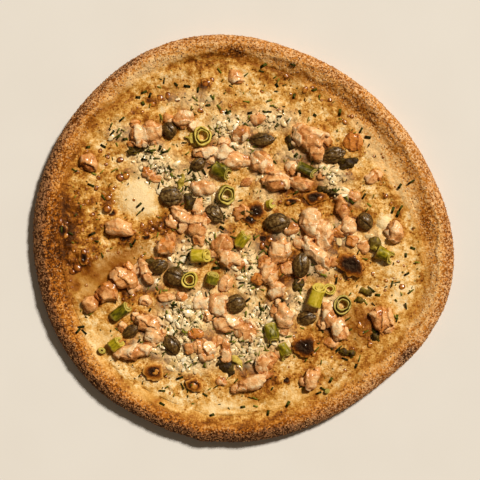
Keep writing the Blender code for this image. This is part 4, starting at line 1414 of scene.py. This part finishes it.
# %% Scraps of salmon
SCRAPS = (
    (236, 77, 14, 14, 4.2, 0, 0.25), (257, 119, 15, 12, 3.6, 20, 0.35),
    (354, 142, 18, 16, 4.2, 0, 0.75), (233, 165, 14, 10, 3.6, 0, 0.6),
    (242, 212, 16, 14, 4, 30, 0.45), (198, 206, 10, 17, 4.2, 0, 0.15),
    (199, 238, 13, 16, 3.8, 0, 0.25), (354, 196, 11, 10, 3.6, 0, 0.2),
    (363, 247, 14, 12, 3.8, 10, 0.1), (226, 284, 12, 16, 3.8, 0, 0.05),
    (226, 350, 9, 24, 3.4, 0, 0.3), (196, 333, 14, 10, 3.4, 0, 0.7), (261, 368, 9, 9, 3.4, 0, 0.2),
    (272, 358, 10, 12, 3.4, 20, 0.3), (331, 342, 14, 10, 3.2, 0, 0.55),
    (165, 297, 15, 9, 3.4, 0, 0.35), (182, 297, 12, 9, 3.2, 10, 0.6),
    (201, 303, 17, 12, 3.6, 0, 0.05), (374, 177, 17, 11, 3.4, 20, 0.55),
    (222, 381, 10, 9, 3.2, 0, 0.35), (155, 178, 9, 12, 3.2, 60, 0.45),
    (147, 172, 10, 9, 3.2, 0, 0.7), (225, 142, 12, 10, 3.2, 0, 0.1), (216, 152, 16, 9, 3.4, 0, 0.1),
    (268, 180, 12, 10, 3.2, 20, 0.35), (247, 182, 10, 8, 3, 0, 0.3),
    (292, 168, 10, 12, 3.2, 40, 0.15), (266, 164, 12, 20, 3.2, 10, 0.4),
    (300, 186, 14, 10, 3.2, -20, 0.15), (322, 176, 9, 9, 3, 0, 0.2),
    (340, 232, 16, 11, 3.4, 20, 0.55), (352, 240, 12, 9, 3.2, 0, 0.6),
    (300, 244, 12, 10, 3.4, 30, 0.2), (310, 236, 12, 10, 3.4, 0, 0.1),
    (292, 228, 14, 12, 3.4, 0, 0.3), (266, 262, 14, 12, 3.4, 0, 0.5),
    (258, 278, 12, 12, 3.4, 0, 0.7), (288, 268, 14, 12, 3.4, 0, 0.15),
    (300, 278, 12, 9, 3, 0, 0.15), (322, 268, 14, 9, 3.2, -30, 0.25),
    (334, 262, 12, 9, 3.2, -30, 0.35), (216, 252, 14, 10, 3.2, 0, 0.15),
    (240, 266, 12, 10, 3.2, 20, 0.1), (172, 222, 10, 12, 3.2, 60, 0.15),
    (184, 226, 12, 10, 3.4, 30, 0.2), (206, 218, 10, 12, 3.2, 0, 0.3),
    (138, 268, 10, 16, 3.4, -60, 0.25), (128, 268, 10, 12, 3.2, 30, 0.5),
    (112, 286, 12, 10, 3.2, 0, 0.7), (100, 296, 10, 10, 3, 0, 0.65),
    (134, 288, 12, 10, 3.4, 20, 0.35), (122, 328, 12, 9, 3.2, 0, 0.3),
    (138, 318, 12, 10, 3.4, 0, 0.25), (160, 334, 12, 9, 3.2, 0, 0.2),
    (150, 342, 14, 9, 3.2, 0, 0.1), (210, 316, 12, 10, 3.4, 20, 0.05),
    (236, 322, 14, 10, 3.4, 0, 0.05), (250, 336, 12, 10, 3.2, 0, 0.05),
    (240, 332, 10, 9, 3.2, 0, 0.15), (206, 356, 14, 9, 3.2, 0, 0.45), (216, 342, 10, 10, 3, 0, 0.4),
    (190, 348, 10, 10, 3, 0, 0.35), (328, 308, 10, 12, 3.2, 0, 0.15),
    (336, 322, 10, 12, 3.2, 20, 0.3), (344, 334, 9, 12, 3, 0, 0.4), (322, 324, 9, 12, 3.2, 0, 0.25),
    (276, 312, 10, 12, 3.2, 0, 0.25), (284, 328, 10, 14, 3.2, 10, 0.3),
    (390, 230, 9, 14, 3.4, 0, 0.45), (394, 238, 10, 9, 3.2, 0, 0.4), (378, 312, 12, 9, 3.2, 0, 0.5),
    (388, 328, 10, 9, 3, 30, 0.35), (304, 382, 10, 9, 3.2, 60, 0.2),
    (317, 372, 10, 9, 3.2, 30, 0.35), (236, 388, 12, 9, 3.2, 20, 0.3),
    (168, 118, 10, 9, 3.2, 0, 0.5), (192, 126, 10, 8, 3.2, 0, 0.4), (238, 136, 12, 9, 3.4, 0, 0.2),
    (300, 128, 12, 9, 3.2, 20, 0.15), (326, 140, 16, 9, 3.2, -30, 0.45),
    (296, 140, 10, 10, 3.2, 0, 0.25), (132, 144, 10, 9, 3.2, 0, 0.45),
    (136, 124, 10, 9, 3.2, 0, 0.5), (152, 142, 10, 8, 3, 0, 0.4), (244, 160, 12, 10, 3.4, 0, 0.3),
    (214, 160, 14, 8, 3, 0, 0.05), (280, 352, 10, 9, 3, 0, 0.2), (146, 300, 12, 9, 3.2, 0, 0.3),
    (156, 262, 10, 10, 3.2, 0, 0.2), (170, 238, 10, 9, 3.2, 0, 0.35),
)


def seat_seen(px, py, lift):
    """The place of a pixel, a little above the cheese there."""
    x, y = seen(px, py)
    return x, y, on_cheese([x], [y])[0, 2] + lift


def scrap(row, salt):
    """A ball squashed to the size seen, at its place on the cheese."""
    px, py, length, width, height, turn = row[:6]
    lump = fine_ball.copy()
    points = points_of(lump)
    square = 1 + 0.10 * np.abs(np.sin(2 * np.arctan2(points[:, 1], points[:, 0])))
    points[:, :2] *= square[:, None]
    points *= (length * PIXEL, width * PIXEL, height)
    points *= 1 + 0.22 * hills(points, 3.0, salt)[:, None]
    move_points(lump, points)
    lump.transform(laid(seat_seen(px, py, 0.18 * height), turn))
    return lump


fine_ball = shape("fine_ball", bmesh.ops.create_icosphere, subdivisions=4, radius=0.5)
scraps = []
for index, row in enumerate(SCRAPS):
    lump = scrap(row, 1000 + 9 * index)
    flaky(lump, 5000 + 30 * index, 3.8, 0.5)
    base = lowness(lump, points_of(lump)[:, 2].min() + 0.5 * row[4] - 0.6)
    hold(lump, toast=row[6], base=base)
    scraps.append(lump)
show("salmon_scraps", gathered("scraps", scraps), salmon, "salmon")

# %% Dark bits of leaf
LEAVES = (
    (227, 367, 20, 11, 3.4, -50, 0), (237, 361, 13, 5, 3, -50, 1), (222, 360, 11, 6, 3, 60, 0.1),
    (190, 200, 9, 17, 3.6, 0, 0.05), (290, 143, 7, 14, 3.4, 0, 0), (298, 284, 11, 11, 3.2, 0, 0.1),
    (342, 208, 10, 8, 3.2, 60, 0.2), (349, 163, 18, 8, 3.4, 30, 0),
    (342, 160, 10, 7, 3.2, -60, 0.15), (140, 147, 18, 6, 3, 15, 0.1),
    (133, 152, 9, 6, 2.8, -30, 0.2), (375, 336, 9, 10, 3, 0, 0), (374, 244, 9, 13, 3.2, 10, 0.4),
    (380, 250, 10, 8, 3.2, -30, 0.3), (334, 194, 20, 4, 3, -25, 0.1),
    (322, 189, 10, 4, 2.8, 10, 0.1), (181, 182, 4, 16, 2.8, -20, 0.75),
    (194, 140, 16, 8, 3.2, -40, 0.9), (348, 352, 14, 5, 2.8, -10, 0.1),
    (366, 292, 12, 5, 2.8, -20, 0.3), (360, 300, 8, 6, 2.8, 0, 0.4),
    (248, 212, 12, 3, 2.8, 10, 0.1), (236, 162, 8, 9, 3, 0, 0.05), (176, 272, 12, 9, 3.2, 0, 0.1),
    (152, 262, 10, 8, 3, 0, 0.2),
)
leafy = mottled(
    "wilted leaf", (1.5, 4.0, 0.65), shares={"shade": 0.8}, contrast=0.9, level=0.2,
    tones=((0.0, 28, 14, 3), (0.25, 58, 38, 8), (0.55, 102, 80, 20), (0.8, 150, 126, 36),
           (1.0, 206, 178, 80)),
    rough=(0.3, 0.35), depth=0.4, Specular_IOR_Level=0.15,
)
bits = []
for index, row in enumerate(LEAVES):
    lump = scrap(row, 2000 + 9 * index)
    flaky(lump, 9000 + 30 * index, 3.4, 0.4)
    points = points_of(lump)
    points += (1.1, 1.1, 0.5) * wander(points, 2.2, 9010 + 30 * index)
    move_points(lump, points)
    folds = np.clip(hills(points, 2.2, 9020 + index), 0, 1)
    hold(lump, shade=row[6] + 0.5 * folds * (points[:, 2] > points[:, 2].mean()))
    bits.append(lump)
show("leaf_bits", gathered("bits", bits), leafy, "caper")

# %% [markdown]
# ### Half-hidden capers and small cuts
#
# Two more capers sank into the cheese until only their upper half shows, and four ends of spring
# onion are far smaller than the rest. The functions for the big ones make these too, so each kind
# only needs its places and sizes, and is joined into one piece.

# %% Sink two capers and strew four cuts
SUNK_CAPERS = ((307, 318, 13.5, 9.5, 5, 0, 0.2), (131, 331, 12, 8.5, 4.5, 30, 0.0))
SMALL_CUTS = (
    (329.5, 289, 2.6, 8.6, 30, 90, 360, 0.95, 0.35), (102, 350.5, 2.5, 5, 0, 90, 360, 0.55, 0.5),
    (271, 204, 6, 6, 20, 40, 250, 0.80, 1.0), (327, 391, 2.5, 3.6, 0, 90, 360, 0.30, 0.5),
)
sunk = []
for index, (px, py, length, width, height, turn, pallor) in enumerate(SUNK_CAPERS):
    mesh = bud(length, width, height, 0.08, pallor, 60 + index)
    mesh.transform(laid(seat_seen(px, py, 0.25 * height), turn))
    sunk.append(mesh)
show("capers_half_sunk", gathered("sunk", sunk), caper, "caper")
cuts = []
for index, (px, py, *piece) in enumerate(SMALL_CUTS):
    x, y, rest = seat_seen(px, py, 0.3 - SEAT)
    mesh = onion_cut((x, y, *piece), 90 + 5 * index)
    mesh.transform(Matrix.Translation((0, 0, rest)))
    cuts.append(mesh)
show("spring_onion_small_cuts", gathered("small_cuts", cuts), onion, "spring_onion")

# %% [markdown]
# ### Bubbles
#
# Where steam burst through, the cheese fried. Small bubbles set into amber beads, painted lighter
# towards the crown and darker round the waist as painted light and shade. The largest burnt: their
# tops are black, cratered and glassy, and shade to orange below.

# %% Amber beads
BEADS = (
    (373, 274, 3.5), (386, 281, 4), (402, 287, 6.5), (385, 291, 3.2), (378, 286, 2.2),
    (394, 278, 2.4), (107, 209, 8), (120, 178, 7), (126, 176, 6), (100, 151, 4.5), (107, 157, 3.8),
    (120, 160, 5), (106, 164, 3.4), (84, 252, 6), (86, 262, 6), (77, 268, 6.5), (72, 272, 5),
    (90, 240, 5), (80, 222, 5), (82, 230, 4), (92, 215, 5), (87, 202, 5), (96, 188, 4),
    (112, 190, 5), (108, 198, 5), (104, 194, 4), (113, 202, 4), (98, 178, 4), (77, 172, 4.5),
    (82, 168, 3.5), (160, 228, 6), (168, 226, 7), (152, 230, 5), (146, 234, 5), (138, 238, 4.5),
    (150, 222, 4.5), (142, 226, 4.5), (134, 232, 4), (122, 240, 5), (360, 326, 5), (362, 334, 6),
    (370, 345, 5), (352, 350, 4.5), (206, 84, 6), (212, 80, 4), (160, 98, 6), (168, 96, 6),
    (152, 104, 5), (305, 90, 5), (312, 88, 4), (345, 122, 4), (352, 116, 4), (134, 200, 3),
    (194, 386, 8), (188, 382, 5), (156, 372, 8), (150, 368, 5), (132, 296, 5), (262, 92, 4),
    (286, 76, 4), (330, 100, 4), (386, 196, 4), (391, 204, 3), (398, 262, 3), (404, 266, 2.4),
    (200, 110, 5), (222, 112, 4.5), (230, 106, 4), (178, 100, 4), (142, 112, 4), (288, 202, 5),
    (280, 202, 4.5), (270, 240, 5), (262, 246, 5), (294, 338, 4), (314, 354, 4), (342, 270, 5),
    (362, 268, 5), (348, 278, 4), (336, 276, 3.5), (320, 198, 5), (308, 190, 4), (66, 236, 5),
    (60, 222, 5),
)
MORE_BEADS = 420
BEAD_GROWTH = 1.2
rng = np.random.default_rng(24)
more = scatter(rng, MORE_BEADS, lambda x, y: np.clip(spots(x, y, TOASTED) * 1.4 + 0.05, 0, 1))
px, py, across = np.array(BEADS).T
x, y = np.hstack([seen(px, py), more])
count = len(x)
width = np.append(across * PIXEL * BEAD_GROWTH, 0.8 + 1.6 * rng.uniform(0, 1, MORE_BEADS) ** 2)
ball = small_ball(12, 7)
beads = strewn(
    "beads", ball, on_cheese(x, y) - width[:, None] * (0, 0, 0.1),
    stacked(width * rng.uniform(0.9, 1.4, count), width, width * 0.5),
    turns=rng.uniform(*ANY_TURN, count), tilts=0, shades=rng.uniform(0, 1, count),
)
push(beads, lambda at: 0.3 * wander(at, 1.5, 71))
# Each bead is painted lighter towards its crown and darker round its waist: painted highlight and
# painted shade.
hold(beads, crown=np.tile(points_of(ball)[:, 2] * 2, count))
amber = mottled(
    "fried cheese bead", (1.4, 3.0, 0.6), shares={"crown": 0.9, "shade": 0.3}, contrast=0.7, level=-0.45,
    tones=((0.0, 82, 34, 2), (0.3, 136, 68, 8), (0.6, 188, 116, 34), (1.0, 230, 172, 84)),
    rough=(0.14, 0.25), depth=0.25, Coat_Weight=0.5, Coat_Roughness=0.08,
)
show("amber_beads", beads, amber, "cheese")

# %% Blackened bubbles
BURNT_SPREAD = 1.3
BURNT_SINK = 0.35
scorched = mottled(
    "burnt bubble", (2.0, 4.0, 0.7), shares={"edge": 1.0}, contrast=0.7, level=0.0,
    tones=((0.0, 24, 8, 2), (0.36, 50, 20, 3), (0.56, 108, 52, 8), (0.78, 174, 104, 28),
           (1.0, 224, 166, 82)),
    rough=(0.2, 0.4), depth=0.6, Specular_Tint=(1.0, 0.62, 0.3), Specular_IOR_Level=0.22,
    Coat_Weight=0.35, Coat_Roughness=0.06,
)
finest_ball = shape("finest_ball", bmesh.ops.create_icosphere, subdivisions=5, radius=0.5)
blackened = []
for index, (px, py, length, width, turn, strength) in enumerate(BURNT):
    lump = finest_ball.copy()
    points = points_of(lump)
    spread = 2 * np.hypot(points[:, 0], points[:, 1])
    points *= (length * PIXEL * BURNT_SPREAD, width * PIXEL * BURNT_SPREAD, 1.5 + 0.9 * strength)
    apart = points + (3.0 * index, 0, 0)
    near, _, number = grains(apart, 2.6, 300 + index)
    crater = 0.55 * np.clip(1 - 1.7 * near, 0, 1) * np.where(number > 0.45, -1.0, 1.0)
    points[:, 2] += (crater + 0.35 * hills(apart, 1.5, 320 + index)) * np.clip(1.1 - spread, 0, 1)
    ragged = 0.26 * hills(apart, 3.6, 340 + index) + 0.12 * hills(apart, 1.6, 360 + index)
    points[:, :2] *= (1 + ragged)[:, None]
    points[:, 2] -= 0.3 * np.clip(1 - 2 * spread, 0, 1)
    move_points(lump, points)
    lump.transform(laid(seat_seen(px, py, -BURNT_SINK), turn))
    hold(lump, edge=np.clip(spread * 1.25 - 0.36 + 0.35 * (1 - strength), 0, 1.2))
    blackened.append(lump)
show("burnt_bubbles", gathered("burnt", blackened), scorched, "cheese")

# %% [markdown]
# ### Flour and semolina
#
# The dough was rolled in coarse semolina, and the grains stuck to the rim. They are what gives the
# crust its salt and pepper look, so they are real grains, sunk in so far that they stay within the
# dough's outline.

# %% Grains on the rim
GRAIN_COUNT = 9000
GRAIN_SINK = 0.12
LOWEST_GRAIN = 2.0
rng = np.random.default_rng(25)
crust_points, crust_out = points_of(dough) / MM + middle, normals_of(dough)
weight = np.clip(baked_marks(crust_points[:, 0], crust_points[:, 1])["bare"], 0, 1) ** 2
weight *= (crust_points[:, 2] > LOWEST_GRAIN) * np.hypot(crust_points[:, 0], crust_points[:, 1])
chosen = rng.choice(len(crust_points), GRAIN_COUNT, replace=False, p=weight / weight.sum())
crumb = shape("crumb", bmesh.ops.create_icosphere, subdivisions=1, radius=0.5)
width = rng.uniform(0.5, 1.2, GRAIN_COUNT)
sizes = stacked(width * rng.uniform(1.0, 1.5, GRAIN_COUNT), width, width * 0.8)
places = crust_points[chosen] - crust_out[chosen] * GRAIN_SINK
# The grains are darker where the rim is browner, so they follow its painted shade on the lower left too.
toasted = baked_marks(places[:, 0], places[:, 1])["brown"]
semolina = strewn(
    "semolina", crumb, places, sizes, turns=rng.uniform(*ANY_TURN, GRAIN_COUNT), tilts=0,
    shades=rng.uniform(0, 1, GRAIN_COUNT) * (1.15 - 0.75 * toasted),
)
move_points(semolina, inside_crust(points_of(semolina)))
grainy = mottled(
    "toasted semolina", (1.5, 2.0, 0.5), shares={"shade": 0.9}, contrast=0.4, level=0.0,
    tones=((0.0, 112, 66, 28), (0.35, 176, 122, 68), (0.65, 224, 174, 116), (1.0, 246, 212, 164)),
    rough=(0.55, 0.3), depth=0.2,
)
show("semolina_grains", semolina, grainy, "crust")
